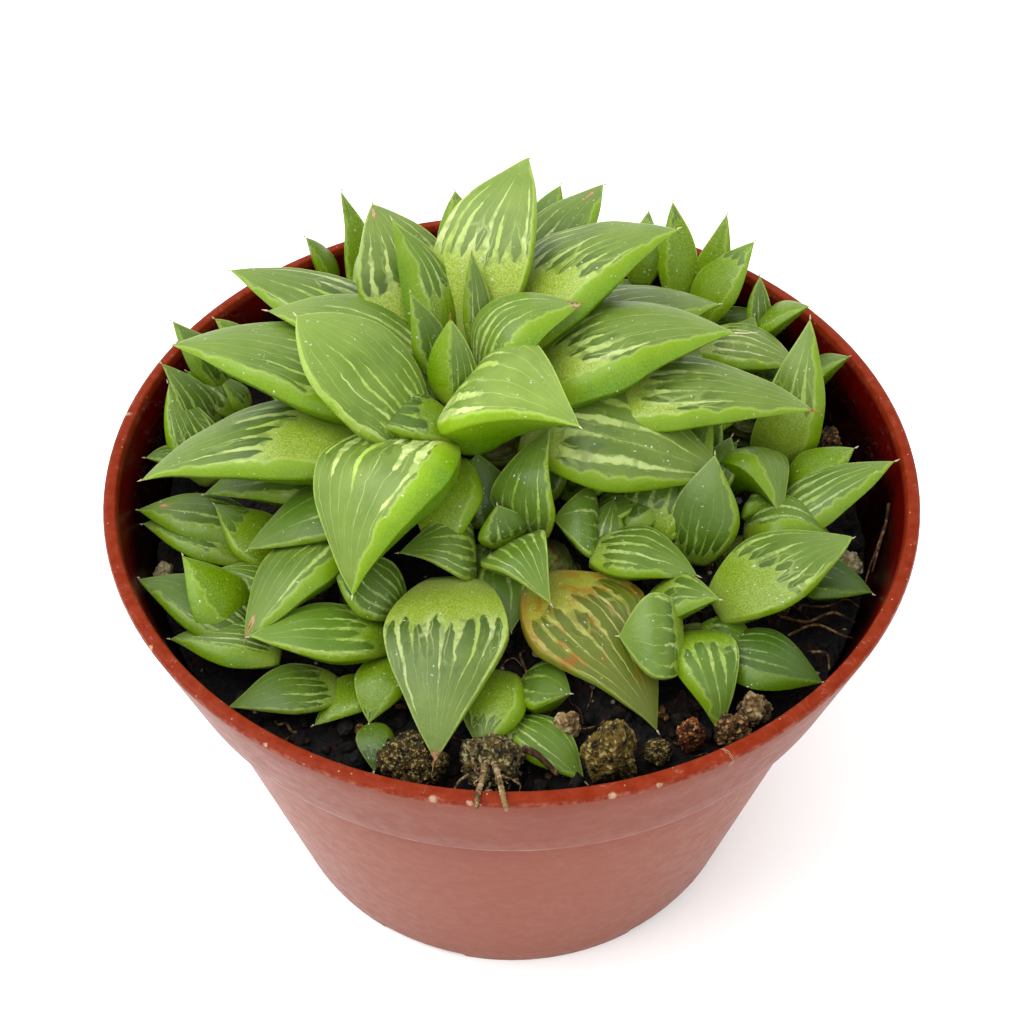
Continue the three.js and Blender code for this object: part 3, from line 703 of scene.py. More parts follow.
# The smaller leaves between them, with no CAD node of their own. Those of one rosette are one
# piece. The photograph doesn't show the far back's, nor most of the back's.
SMALL_LEAVES = {
    "main": [
        (-4, 8.5, 79, 99, 60, 13, 4, "spear"), (-9, 3.5, 79, 123, 55, 11.5, 5, "spear"),
        (-7, -5, 78, 178, 12, 12, 8, "blunt"), (9, 12, 68, 30, -4, 24, 11, "broad"),
        (-14, 8, 68, 146, -2, 22, 11, "broad"), (-12, -8, 70, 200, -6, 22, 11, "broad"),
        (-22, 8, 66, 146, 16, 17, 10, "broad"), (-16, -2.5, 67, 184, -3, 24, 12, "broad"),
        (-7, -4, 72.5, 262, -18, 14.5, 9, "broad"),
    ],
    "front": [
        (16.5, -10.5, 64, 44, 14, 11.5, 8), (11, -10, 66, 186, 20, 6, 9.5, "bent", 25),
        (-3.6, -10, 66, 98, 46, 9.5, 10, "spear"), (-0.5, -14, 67, 117, 60, 5.5, 7, "spear"),
        (-3, -12, 65, 258, -20, 4.5, 5.5), (-1, -14.5, 65, 276, -12, 10, 8),
        (11, -7, 66, 4, 14, 6, 6), (9.5, -12.5, 65, 38, 14, 5.5, 5),
        (12, -9, 64.5, 20, 20, 11, 7, "broad"), (17, -11, 64, 62, 34, 12.5, 9, "broad"),
        (11, -13.5, 64, 72, 30, 8, 6), (2.5, -5, 65, 60, 40, 9.5, 7.5, "broad"),
        (6, -2.5, 65, 12, 20, 11, 8.5, "broad"),
    ],
    "low_front": [
        (1, -30.5, 61, 339, 8, 6.5, 8, "blunt"), (0.5, -35.5, 60, 280, -8, 5, 5),
    ],
    "right_front": [
        (16.5, -20.5, 64, 339, 26, 10, 8, "broad"), (22.5, -24, 62, 341, -4, 8.5, 8),
    ],
    "right": [
        (35.5, -14, 62, 333, 8, 10.5, 8), (36.5, -2, 64, 26, 24, 10.5, 7),
        (30, -7.5, 63, 351, 0, 11.5, 8, "bent"), (24.5, 3.5, 64, 47, 50, 7.5, 6),
        (27, 2, 64, 32, 50, 5, 4), (31, -3, 64, 328, 10, 4, 8.5, "bent"),
        (20, -3, 66, 52, 38, 12, 8.5), (25.5, -3.5, 65, 62, 36, 8.5, 5.5),
        (28, 3, 63, 300, 12, 13, 10, "hook", 20),
    ],
    "far_right": [
        (40.5, 19, 64, 342, 50, 9, 6), (34.5, 28, 66, 341, 42, 10, 6),
        (35.5, 27.5, 64, 93, 60, 10, 4, "spear"), (30, 20, 64.5, 60, 30, 10, 7.5),
        (31, 16, 64, 330, 20, 11, 8), (28, 15, 64, 250, 10, 10, 8),
        (33, 19, 63.5, 10, 14, 10, 7),
    ],
    "back_right": [
        (28.5, 35, 66, 66, 64, 13, 5, "spear"), (19, 38.5, 66, 81, 52, 11, 6, "spear"),
        (26, 34, 62, 140, 10, 12, 6), (27, 33, 62, 350, 20, 12, 6), (24, 30, 63, 200, 10, 12, 7),
        (22, 35, 61.5, 120, 4, 10, 6.5), (28, 29.5, 61.5, 320, 6, 12, 7),
        (25, 28, 61.5, 262, 0, 10, 7),
    ],
    "back": [
        (2.5, 31.5, 76, 64, 34, 12, 7, "spear"), (-7, 31, 75, 97, 30, 12, 7, "spear"),
        (2, 31, 68, 52, 8, 15, 8, "broad"), (-1, 33, 69, 88, 28, 13, 8, "broad"),
        (0, 34, 66, 92, 12, 13, 8.5, "broad"), (-4, 32.5, 65, 150, 6, 13, 8, "broad"),
        (4.5, 33, 65, 28, 6, 13, 8, "broad"), (-2.5, 34.5, 62.5, 116, -2, 12, 8, "broad"),
        (3, 34.5, 62, 62, -3, 12, 8, "broad"), (0, 35.5, 60.5, 88, -4, 11.5, 8, "broad"),
        (-4, 31, 61.5, 176, 4, 14, 8, "broad"),
    ],
    "back_left": [
        (-26, 39.5, 66, 165, 58, 8.5, 5, "spear"), (-37, 23.5, 66, 163, 44, 7, 5, "spear"),
        (-22, 35, 63, 60, 20, 11, 6), (-24, 36, 62, 170, 20, 8, 6),
        (-24, 35, 62, 250, 10, 10, 6), (-20, 33, 61.5, 330, 4, 11, 7),
        (-24, 33, 61, 228, 2, 11, 7), (-19, 37, 61, 24, 10, 10, 6.5),
        (-23, 35, 61, 150, 20, 6.5, 5.5),
    ],
    "far_back": [
        (13.1, 38.9, 59.3, 20, 50, 8.5, 6), (12.2, 39.7, 59.3, 80, 34, 8, 6),
        (11.1, 39.3, 59.3, 140, 50, 8.5, 6), (10.9, 38.1, 59.3, 200, 32, 8.5, 6),
        (11.8, 37.3, 59.3, 260, 52, 8, 6), (12.9, 37.7, 59.3, 320, 34, 9, 6),
        (12, 38.5, 60, 60, 76, 7.5, 4.5, "spear"), (-10.8, 38, 59.2, 0, 48, 8.5, 6),
        (-11.4, 39, 59.2, 62, 32, 8, 6), (-12.6, 39, 59.2, 118, 50, 8.5, 6),
        (-13.2, 38, 59.2, 184, 30, 9, 6), (-12.6, 37, 59.2, 244, 46, 8, 6),
        (-12, 38, 60, 20, 78, 7, 4.5, "spear"), (-30, 28.1, 59.4, 30, 50, 8, 5.5),
        (-31, 28.7, 59.4, 100, 34, 8, 5.5), (-32, 27.9, 59.4, 172, 44, 7.5, 5.5),
        (-31.6, 26.5, 59.4, 240, 34, 7.5, 5.5), (-30.3, 26.6, 59.4, 305, 46, 7.5, 5.5),
    ],
    "left": [
        (-41, 11, 62, 146, 48, 12, 6), (-40, 17, 64, 150, 52, 12.5, 6),
        (-38.5, 15, 62, 160, 40, 9, 6), (-37, 16, 62, 157, 45, 6, 4.5, "spear"),
        (-43, 5.5, 62, 201, 26, 7, 5),
    ],
    "left_front": [
        (-32.5, -23.5, 61, 139, 35, 12.5, 9, "broad", -15, 0.06),
        (-29, -13.5, 63, 142, 16, 12, 7.5), (-32, -9, 63, 167, 3, 17, 8),
        (-31, -25, 62, 154, 10, 17, 8), (-28, -27, 62, 174, 4, 13.5, 7),
        (-20.5, -31, 60, 191, 0, 13.5, 7.5, "low", 0, -0.03), (-33, -12, 62, 160, 2, 16, 7),
        (-16, -29.5, 60, 219, -5, 9.5, 6), (-14, -27, 62, 255, -5, 10, 6.5, "blunt"),
        (-28.5, -17.5, 62, 168, 14, 9, 5.5), (-31.5, -23.5, 61, 162, 0, 11, 4.5),
        (-15.5, -36.5, 61, 268, -10, 6, 5),
    ],
}

# How a leaf is marked: the share of its length that is pale base, the lines across it, how dark its
# windows are and how green it is, by name or as the first four values of mark(). Then how far the
# lines reach, how blue the leaf is, its blush, the share of its length that is dry at the tip, the
# slant of the pale base's edge, the bristle's length, and scars [s, t, size, redness]. Then where
# the window ends on the near side, how round the outline closes, where it is widest (or as in
# HABITS), how wide its base is, how bold the lines are, and how light the whole leaf is. That
# lightness is partly the leaf's own tone and partly painted light and shade for how much light
# reaches it among the others.
PLAIN = dict(base=0.36, lines=8, dark=0.5, green=0.3, end=0.85, blue=0, blush=0, dry=0, slant=0,
             awn=0.7, scars=(), edge=0.85, taper=1.65, belly=None, shoulder=0.4, bold=1, light=1)


def mark(base, lines, dark, green, **more):
    """A look. What is None or left out stays as drawn, or else as in PLAIN."""
    stated = {"base": base, "lines": lines, "dark": dark, "green": green}
    return {key: value for key, value in stated.items() if value is not None} | more


# The leaves whose look was taken from the photograph, numbered as in LEAVES and SMALL_LEAVES.
LOOKS = {
    "main_leaf": {
        1: mark(0.02, 6, 0.1, 0.05, end=0.6, slant=-0.05, edge=0.9, taper=1.6, belly=0.34,
                bold=2.9, light=1.46),
        2: mark(0.2, 4, None, 0.6, end=0.7, dry=0.03, edge=0.05, light=1.05),
        3: mark(0.02, 7, 0, 0.6, end=1, dry=0.07, edge=0.5, taper=2.2, bold=1.5, light=1.12),
        4: mark(0.05, 9, -0.1, 0.45, end=0.8, edge=0.97, taper=2.4, belly=0.46, bold=1.3,
                light=1.22),
        5: mark(0.12, 7, 0.9, 0, end=0.72, edge=0.66, taper=1.4, belly=0.4, bold=2.2, light=1.38),
        6: mark(0.4, 4, 0.1, 0.85, end=1, edge=0.2),
        7: mark(0.44, 8, 0.15, 0.1, end=0.9, edge=0.95, taper=2, bold=1.4, light=1.17),
        8: mark(0.42, 7, 0.75, 0.1, edge=0.95, light=1.06, scars=((0.92, 0.5, 0.08, 1),)),
        9: mark(0.1, 7, 0.1, 0.4, end=0.95, edge=0.9, bold=1.5, light=1.12),
        10: mark(0.42, 8, 0.6, 0.2, end=0.8, dry=0.012, slant=-0.12, edge=0.7, bold=1.3,
                 light=1.12),
        11: mark(0.26, 6, 0.7, 0.2, end=0.62, dry=0.008, slant=-0.1, awn=3.4, edge=0.62,
                 taper=1.45, bold=1.5, light=1.1),
        12: mark(0.34, 7, 0.4, 0.5, end=0.7, edge=0.8, bold=1.3, light=1.08),
        13: mark(0.4, 6, 0.6, 0.35, end=0.9, edge=0.8, bold=1.3),
        14: mark(0.4, 6, 0.8, 0.35, slant=0.08, edge=0.76, taper=1.5, bold=1.5, light=1.05),
        15: mark(0.4, 5, 0.6, None, end=0.8, scars=((0.9, 0, 0.06, 1),)),
        16: mark(0.3, 6, 0.75, 0.2, end=0.8),
        17: mark(0.34, 6, 0.9, 0.2, end=0.7, dry=0.03, slant=-0.08, edge=0.72, taper=1.5, bold=1.5,
                 light=1.06),
        18: mark(0.13, 5, 0.75, 0.15, end=0.9, dry=0.03, edge=0.82, bold=1.5),
    },
    "front_leaf": {
        1: mark(0.03, 5, 0.3, 0.7, end=1, edge=0.9, taper=1.3, belly=0.3),
        2: mark(0.01, 6, 0.2, 0.6, end=1, edge=0.96, taper=1.25, belly=0.2, shoulder=0.75,
                light=0.95),
        3: mark(0.01, 6, 0.2, 0.6, end=1.1, edge=0.96, taper=1.25, belly=0.2, shoulder=0.75),
        4: mark(0.34, 8, 0.72, 0.2, end=0.84, dry=0.05, awn=1.6, edge=0.97, taper=1.4, belly=0.38,
                light=0.95),
        5: mark(0.1, 5, 0.3, 0.6, end=0.95, edge=0.85, light=0.95),
        6: mark(0.26, 9, 1, 0.35, end=0.9, blush=0.95, dry=0.012, edge=0.97, taper=1.08, belly=0.4,
                shoulder=0.2, bold=0.8),
    },
    "low_front_leaf": {
        1: mark(0.7, 5, 0.2, 0.7),
        2: mark(0.02, 5, 0.2, 0.8, end=1, light=0.9),
    },
    "right_front_leaf": {
        1: mark(0.2, 5, 0.1, 0.7, end=0.7, edge=0.97, taper=2.2, belly=0.5, shoulder=0.7),
        2: mark(0.3, 4, 0.2, 0.85, end=1.1),
        3: mark(0.1, 5, 0.6, 0.8, end=0.9, blue=0.8, awn=0.4),
    },
    "right_leaf": {
        1: mark(0.38, 7, 0.4, 0.6, end=0.75, slant=-0.12, edge=0.92, light=0.97),
        2: mark(0.12, 6, 0.6, 0.85, end=0.7, blue=0.15, edge=0.8, light=0.9),
        3: mark(0.2, 5, 0.2, 0.8, end=1, bold=1.3, light=0.93),
    },
    "far_right_leaf": {
        1: mark(0.2, 6, 0.5, 0.1, end=1),
        2: mark(0.5, 4, 0, 0.5, end=0.9, edge=0.6),
    },
    "left_front_leaf": {
        1: mark(0.05, 6, 0.5, 0.5, end=0.95, dry=0.03, edge=0.7, bold=1.3,
                scars=((0.93, 0, 0.1, 1.25),)),
        2: mark(0.05, 6, 0.4, 0.8, end=1, blue=0.3, light=0.93),
        3: mark(0.2, 5, 0.1, 0.9, end=0.9, edge=0.9),
    },
    "back_left_leaf": {
        1: mark(0.9, 4, 0.1, 0.9),
    },
    "back_left_small": {
        1: mark(0.9, 3, 0.1, 0.9),
        2: mark(0.9, 3, 0.1, 0.9),
    },
    "back_right_leaf": {
        1: mark(0.8, 4, 0.1, 0.9, edge=0.6, light=1.05),
        2: mark(0.7, 3, 0.1, 0.9, edge=0.7, light=1.05),
    },
    "back_right_small": {
        1: mark(0.9, 3, 0.1, 0.9, edge=0.6, light=1),
        2: mark(0.9, 3, 0.1, 0.85, light=1),
    },
    "back_small": {
        1: mark(0.5, 4, 0.1, 0.6, light=1),
        2: mark(0.8, 3, 0.1, 0.8, light=1),
    },
    "far_right_small": {
        2: mark(0.9, 3, 0.1, 0.9, light=1),
    },
    "main_small": {
        9: mark(1, 3, 0.1, 0.75, edge=0.7, light=1.1),
    },
    "front_small": {
        1: mark(0.15, 5, 0.5, 0.8, end=0.8, blue=0.1, edge=0.9),
        2: mark(0.05, 5, 0.2, 0.85, end=0.9, blue=0, edge=0.95),
        3: mark(0.02, 3, 0.6, 0.8, blue=0.5),
        12: mark(0.05, 3, 0.6, 0.9, blue=0.3, light=0.85),
        13: mark(0.1, 3, 0.5, 0.9, blue=0.2, light=0.88),
    },
    "left_front_small": {
        1: mark(1, 3, 0, 1, edge=0.5, light=1.05),
        2: mark(0.6, 3, 0.1, 0.9),
        3: mark(0.1, 4, 0.4, 0.4, bold=1.4, scars=((0.78, 0.1, 0.07, 1),)),
        4: mark(0.05, None, 0.9, 0.5, blue=0.45),
        5: mark(0.1, 6, 0.6, 0.6, edge=0.4),
        6: mark(0.15, 6, 0.7, 0.6, blue=0.15),
        8: mark(0.9, None, None, 0.9, edge=0.7),
        9: mark(0.9, None, None, 0.9, edge=0.6),
        12: mark(0.6, None, 0.7, 0.9, blue=0.9),
    },
    "right_small": {
        1: mark(0.1, 3, 0.7, 0.9, blue=0.9),
        2: mark(0.9, 3, 0.1, 0.95, edge=0.5, light=1),
        3: mark(0.05, 3, 0.1, 0.7, edge=0.3),
        9: mark(0.02, 4, 0, 0.6, end=0.7, blue=0, edge=0.5),
    },
}

AROUND = 24  # steps across each face of a leaf


def outline_at(s, shoulder, belly, taper):
    """Half an outline: swells from the shoulder at the base to 1 at the belly, and closes in a
    point at the tip. Its sides are straight at a taper of 1 and round at 2."""
    rising = shoulder + (1 - shoulder) * np.sin(np.pi / 2 * np.clip(s / belly, 0, 1)) ** 0.8
    falling = 1 - np.clip((s - belly) / (1 - belly), 0, 1) ** taper
    return np.where(s < belly, rising, falling)


def leaf_axes(heading, rise, roll):
    turn, tilt, roll = (math.radians(a) for a in (heading, rise, -roll))
    flat = np.array([math.cos(turn), math.sin(turn), 0])
    along = flat * math.cos(tilt) + np.array([0, 0, math.sin(tilt)])
    level_up = flat * -math.sin(tilt) + np.array([0, 0, math.cos(tilt)])
    up = level_up * math.cos(roll) + np.cross(along, level_up) * math.sin(roll)
    return along, np.cross(up, along), up


# A leaf's bristle: a share of its length, and the radius there.
BRISTLE = ((0.1, 0.13), (0.45, 0.09), (0.8, 0.05), (1.0, 0.02))
BRISTLE_BEND = 0.18  # how far it bends up, as a share of its length
UNEVEN = {"reach": 0.3, "pitch": 0.17}  # the gentle unevenness of a leaf's surface


def add_leaf(body, row, look, seed, steps=34, around=AROUND):
    """A leaf: crowned above, keeled below, and drawn out in a fine bristle."""
    x, y, z, heading, rise, long, wide, *ending = row
    habit, roll, sway = (*ending, *ROW_END[len(ending):])
    look = PLAIN | look
    thick, arch, belly = HABITS[habit]
    belly = look["belly"] or belly
    along, left, up = leaf_axes(heading, rise, roll)
    s = 1 - (1 - np.linspace(0, 1, steps)) ** 1.25
    s[-1] = 0.996
    near, edge = 1 if math.cos(math.radians(heading)) < 0 else -1, look["edge"]
    # Across: over the top from one margin to the other, then back underneath. The window ends at
    # an edge of its own on the near side, and the flank beyond it slopes to the margin.
    flank_steps = max(3, round(around * (1 - edge) * 0.6))
    turned_to = np.sin(np.linspace(-math.pi / 2, math.pi / 2, around - flank_steps + 1))
    window_u = (turned_to + 1) / 2 * (edge + 1) - 1
    flank_u = edge + (1 - edge) * np.sin(np.linspace(0, math.pi / 2, flank_steps + 1))[1:]
    top_t = near * np.concatenate([window_u, flank_u])
    if near > 0:
        top_t = top_t[::-1]
    under_t = np.sin(np.linspace(-math.pi / 2, math.pi / 2, around + 1))[1:-1]
    t = np.concatenate([top_t, under_t])
    above = np.concatenate([np.ones(around + 1), np.zeros(around - 1)])
    above[[0, around]] = 0.5
    S, T = np.meshgrid(s, t, indexing="ij")
    over = np.broadcast_to(above, S.shape)
    half_width = outline_at(S, look["shoulder"], belly, look["taper"]) * wide / 2
    bow = 4 * S * (1 - S)
    keel = 2.2 - 0.9 * S
    U = T * near
    within = np.clip((U + 1) / (edge + 1), 0, 1)
    flank = np.clip((U - edge) / (1 - edge), 0, 1)
    drop = 0.42 * (1 - edge)
    ridge = 0.14 * within ** 1.5 + 0.56 * within * (1 - within)
    crown = half_width * (ridge - (0.14 + drop) * flank ** 1.7)
    below = -outline_at(S, 0.6, belly * 0.8, 1.7) * wide * thick * (1 - np.abs(T) ** keel)
    below -= half_width * drop * np.clip(U, 0, 1) ** 2
    height = arch * long * bow + np.where(over >= 0.5, crown, below)
    inward = 0.12 * (1 - edge) * np.clip(U, 0, 1) ** 2
    aside = (T - near * inward) * half_width + sway * long * bow
    points = (np.array([x, y, z]) + S[..., None] * long * along
              + aside[..., None] * left + height[..., None] * up)
    # The bristle goes on from the tip and bends up a little.
    tip = points[-1].mean(axis=0)
    ahead = tip - points[-3].mean(axis=0)
    ahead /= np.linalg.norm(ahead)
    bristle = []
    turn = np.pi / 2 - turns(len(t))
    spokes = np.outer(np.sin(turn), left) + np.outer(np.cos(turn), up)
    for share, radius in BRISTLE:
        centre = tip + ahead * look["awn"] * share + up * look["awn"] * BRISTLE_BEND * share ** 2
        bristle.append(centre + spokes * radius)
    points = np.concatenate([points, bristle])
    rows = len(points)
    points = points.reshape(-1, 3)
    leafy = steps * len(t)
    shift = seed * 91.7
    for i in range(leafy):
        spot = Vector(points[i] * UNEVEN["pitch"]) + Vector((shift, 0, 0))
        points[i] += np.array(noise.noise_vector(spot)) * UNEVEN["reach"]
    ends = np.array([points[:len(t)].mean(axis=0), points[-len(t):].mean(axis=0)])
    points = np.vstack([points, ends])

    inside = np.minimum(U + 1, edge - U)
    rim = half_width * np.where(over >= 0.5, inside, np.abs(T) - 1 - (1 - edge) * (U > 0))
    place = np.stack([S, near * (2 * within - 1), rim], -1)
    bristle_place = np.tile([1.02, 0, 0.3], (len(bristle) * len(t), 1))
    place = np.vstack([place.reshape(-1, 3), bristle_place, [[0, 0, -1], [1.02, 0, 0.3]]])
    count = len(points)
    ones = np.ones(count)
    base = look["base"] + look["slant"] * place[:, 1]
    crease = np.zeros(count)
    crease[:leafy] = ((U > 0) * min(1, 6 * (1 - edge))).ravel()
    scar = np.zeros(count)
    for scar_s, scar_t, size, redness in look["scars"]:
        off = np.hypot((place[:, 0] - scar_s) * long, (place[:, 1] - scar_t) * wide / 2)
        scar = np.maximum(scar, redness * np.exp(-(off / (size * long)) ** 2))
    body.add(points, loft_faces(rows, len(t)), {
        "leaf_place": place,
        "leaf_pattern": np.stack([base, look["lines"] * ones, look["end"] * ones], -1),
        "leaf_tone": np.stack([look[k] * ones for k in ("dark", "blue", "green")], -1),
        "leaf_wear": np.stack([look["dry"] * ones, scar, look["blush"] * ones], -1),
        "leaf_seed": seed * ones,
        "leaf_extra": np.stack([crease, look["bold"] * ones, look["light"] * ones], -1),
    })


def add_leaves():
    """Each leaf of the CAD model as a piece, and each rosette's small leaves as one more."""
    draw = random.Random(SEEDS["leaves"])
    for name, rows in LEAVES.items():
        for i, row in enumerate(rows):
            node = f"{name}_leaf_{i + 1}"
            body = Body()
            look = dict(green=draw.uniform(0.3, 0.8), dark=draw.uniform(0.3, 0.7),
                        lines=draw.choice([5, 6, 7]), edge=draw.uniform(0.55, 0.95))
            add_leaf(body, row, look | LOOKS.get(f"{name}_leaf", {}).get(i + 1, {}), draw.random())
            piece(f"{node}_skin", body, "leaf", [node])
    for name, rows in SMALL_LEAVES.items():
        body = Body()
        for i, row in enumerate(rows):
            look = dict(green=draw.uniform(0.5, 0.95), dark=draw.uniform(0.3, 0.7),
                        lines=draw.choice([3, 4, 5]), base=draw.uniform(0.05, 0.4),
                        blue=draw.uniform(0, 0.25), end=draw.uniform(0.6, 1.0), awn=0.5,
                        edge=draw.uniform(0.5, 0.95), taper=draw.uniform(1.3, 1.8),
                        light=draw.uniform(0.84, 1.0))
            look |= LOOKS.get(f"{name}_small", {}).get(i + 1, {})
            add_leaf(body, row, look, draw.random(), 24, 14)
        piece(f"{name}_small_leaves", body, "leaf")


# ---- Stems ----


def add_stems():
    """Short stems, ringed where old leaves have come away."""
    for node in sorted(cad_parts):
        if not node.endswith("_stem"):
            continue
        low, high = (np.array(corner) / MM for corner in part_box(node))
        middle, half = (low + high) / 2, (high - low) / 2
        rows, sides = 26, 40
        turn = turns(sides)
        points = []
        for up in np.linspace(0.02, 0.985, rows):
            share = 1 - 0.1 * up / 0.55 if up < 0.55 else 0.9 * math.cos((up - 0.55) / 0.45 * 1.45)
            share *= 0.94 + 0.03 * math.sin(up * 40)
            z = low[2] + up * (high[2] - low[2])
            wave = 1 + 0.04 * np.sin(3 * turn + 9 * up) + 0.02 * np.sin(7 * turn - 14 * up)
            points.append(np.stack([middle[0] + half[0] * share * wave * np.cos(turn),
                                    middle[1] + half[1] * share * wave * np.sin(turn),
                                    np.full(sides, z)], -1))
        points = np.vstack(points)
        ends = [[middle[0], middle[1], low[2]], [middle[0], middle[1], high[2] - 0.1]]
        body = Body()
        body.add(np.vstack([points, ends]), loft_faces(rows, sides))
        piece(f"{node}_bark", body, "stem", [node])


# ---- Pot ----


def rounded(corners, steps=5):
    """A closed outline of [radius, height, rounding] corners with arcs in place of the corners."""
    outline = []
    count = len(corners)
    for i, (radius, height, rounding) in enumerate(corners):
        here = np.array([radius, height])
        before = np.array(corners[i - 1][:2]) - here
        after = np.array(corners[(i + 1) % count][:2]) - here
        if not rounding:
            outline.append(here)
            continue
        before, after = before / np.linalg.norm(before), after / np.linalg.norm(after)
        inward = (before + after) / np.linalg.norm(before + after)
        opening = math.acos(np.clip(before @ after, -1, 1))
        reach = rounding / math.tan(opening / 2)
        centre = here + inward * rounding / math.sin(opening / 2)
        start, end = here + before * reach - centre, here + after * reach - centre
        for share in np.linspace(0, 1, steps):
            spoke = start * (1 - share) + end * share
            outline.append(centre + spoke / np.linalg.norm(spoke) * rounding)
    return outline


FLOOR_ROWS = (6, 12, 18, 24, 29)  # radii of the rows of faces on the pot's floor
NEAR_AXIS = 0.001
WALL_ROW = 4  # the longest stretch of wall without a row


def pot_body():
    """The pot's outline turned round its axis, still without openings."""
    rim_inner = RIM_RADIUS - RIM_WIDTH
    shoulder = BAND_FOOT - WALL
    corners = [
        (FOOT_RADIUS - FOOT_RING_WIDTH, FOOT_RING_HEIGHT, 0.3),
        (FOOT_RADIUS - FOOT_RING_WIDTH, 0, 0.4),
        (FOOT_RADIUS, 0, 0.6),
        (WALL_TOP_RADIUS, BAND_FOOT, 0.4),
        (BAND_FOOT_RADIUS, BAND_FOOT, 0.45),
        (RIM_RADIUS, POT_HEIGHT, 0.7),
        (rim_inner, POT_HEIGHT, 0.35),
        (BAND_FOOT_RADIUS - RIM_WIDTH, BAND_FOOT, 0.6),
        (inner_radius(shoulder), shoulder, 0.6),
        (inner_radius(POT_FLOOR_TOP), POT_FLOOR_TOP, 1.2),
    ]
    outline = rounded(corners)
    # Long stretches get more rows, so that the wall isn't made of slivers.
    dense = []
    for i, point in enumerate(outline):
        after = outline[(i + 1) % len(outline)]
        far = np.linalg.norm(after - point)
        parts = max(1, round(far / WALL_ROW)) if i + 1 < len(outline) else 1
        dense += [point + (after - point) * k / parts for k in range(parts)]
    # The first and last points lie on the floor's two faces, which fans close at the axis.
    radii = [NEAR_AXIS, *FLOOR_ROWS]
    dense = [(r, FOOT_RING_HEIGHT) for r in radii] + dense
    dense += [(r, POT_FLOOR_TOP) for r in reversed(radii)]
    turn = turns(POT_SEGMENTS)
    rings = [ring(r, z, turn) for r, z in dense]
    body = Body()
    body.add(np.vstack(rings + [[[0, 0, FOOT_RING_HEIGHT]], [[0, 0, POT_FLOOR_TOP]]]),
             loft_faces(len(rings), POT_SEGMENTS))
    return body


# A foot notch's outline, as shares of its width and height.
NOTCH_OUTLINE = ((-0.5, -1), (-0.5, 0.75), (-0.45, 1), (0.45, 1), (0.5, 0.75), (0.5, -1))


def cutters():
    """The drain holes and the notches in the foot ring."""
    body = Body()
    heads = [(0.0, 0.0)]
    for i in range(DRAIN_HOLES["count"]):
        turn = 2 * math.pi * (i + 0.5) / DRAIN_HOLES["count"]
        heads.append((DRAIN_HOLES["ring"] * math.cos(turn), DRAIN_HOLES["ring"] * math.sin(turn)))
    middle = FOOT_RING_HEIGHT + FLOOR / 2
    for x, y in heads:
        path = [(x, y, middle + up * FLOOR) for up in (-1.6, -0.5, 0.5, 1.6)]
        body.tube(path, [DRAIN_HOLES["radius"]] * 4, 40, 0)
    depth = FOOT_RING_WIDTH + 2
    for i in range(FOOT_NOTCHES["count"]):
        turn = math.radians(FOOT_NOTCHES["first"] + 360 / FOOT_NOTCHES["count"] * i)
        out = np.array([math.cos(turn), math.sin(turn), 0])
        side = np.array([-out[1], out[0], 0])
        corners = []
        for far in (FOOT_RADIUS + 1 - depth, FOOT_RADIUS + 1):
            for wide, high in NOTCH_OUTLINE:
                corners.append(out * far + side * wide * FOOT_NOTCHES["wide"]
                               + np.array([0, 0, high * FOOT_NOTCHES["high"]]))
        count = len(corners) // 2
        faces = [[k, (k + 1) % count, (k + 1) % count + count, k + count] for k in range(count)]
        faces += [list(range(count))[::-1], list(range(count, 2 * count))]
        body.add(corners, faces)
    return body


def add_pot():
    """The pot, with its drain holes and notches cut."""
    pot = piece("pot_shell", pot_body(), "pot", ["pot"])
    tool = piece("pot_cutters", cutters(), "pot")
    cut = pot.modifiers.new("openings", "BOOLEAN")
    cut.operation, cut.object, cut.solver = "DIFFERENCE", tool, "EXACT"
    bpy.context.view_layer.update()
    seen = pot.evaluated_get(bpy.context.evaluated_depsgraph_get())
    mesh = bpy.data.meshes.new_from_object(seen)
    pot.modifiers.clear()
    pot.data = mesh
    bpy.data.objects.remove(tool)
    pot.data.shade_smooth()
    pot.data.set_sharp_from_angle(angle=math.radians(POT_SHARP))


# ---- Soil and what lies on it ----

# What lies on the soil where the photograph shows it: middle x, y, half sizes, material and slot.
# A lump stands for the CAD node of its name, where there is one.
LUMPS = {
    "moss_lump": (-11.5, -41, 3.6, 2.8, 3.4, "moss", "moss"),
    "root_lump": (-2.5, -41.5, 3.3, 2.8, 3.6, "root", "root"),
    "mossy_stone": (11.5, -40.5, 3.1, 2.9, 4.9, "stone", "moss"),
    "bark_chip": (21, -37.5, 1.5, 1.2, 2.9, "chip", "bark"),
    "near_moss": (17.3, -39, 1.7, 1.4, 1.8, "moss", "moss"),
    "perlite_lump": (26.6, -36.8, 1.0, 0.9, 1.3, "perlite", "perlite"),
    "brown_lump": (26.2, -36.2, 2.1, 1.8, 2.2, "bark", "bark"),
    "tan_lump": (28.9, -33.6, 1.9, 1.7, 2.1, "tan", "bark"),
    "pale_pebble": (6.6, -36.2, 1.5, 1.5, 1.8, "tan", "perlite"),
    "near_perlite": (17.2, -42.6, 0.8, 0.6, 0.7, "perlite", "perlite"),
    "right_bark_1": (44.6, 13.1, 1.5, 2.2, 1.6, "bark", "bark"),
    "right_bark_2": (44.2, -9.5, 1.6, 1.8, 1.5, "pebble", "bark"),
    "right_bark_3": (43.6, -13.2, 1.1, 1.3, 1.0, "bark", "bark"),
    "left_pebble": (-45, -11.6, 1.2, 1.5, 1.1, "pebble", "perlite"),
}
SUNK = 0.35  # how deep a lump lies in the soil, as a share of its half height
SETTLED = 0.9  # how far the peat lies below the CAD model's even surface
CRUMB_ROOM, FIBRE_ROOM = 0.9, 1.4  # how far crumbs and fibres stay from the wall


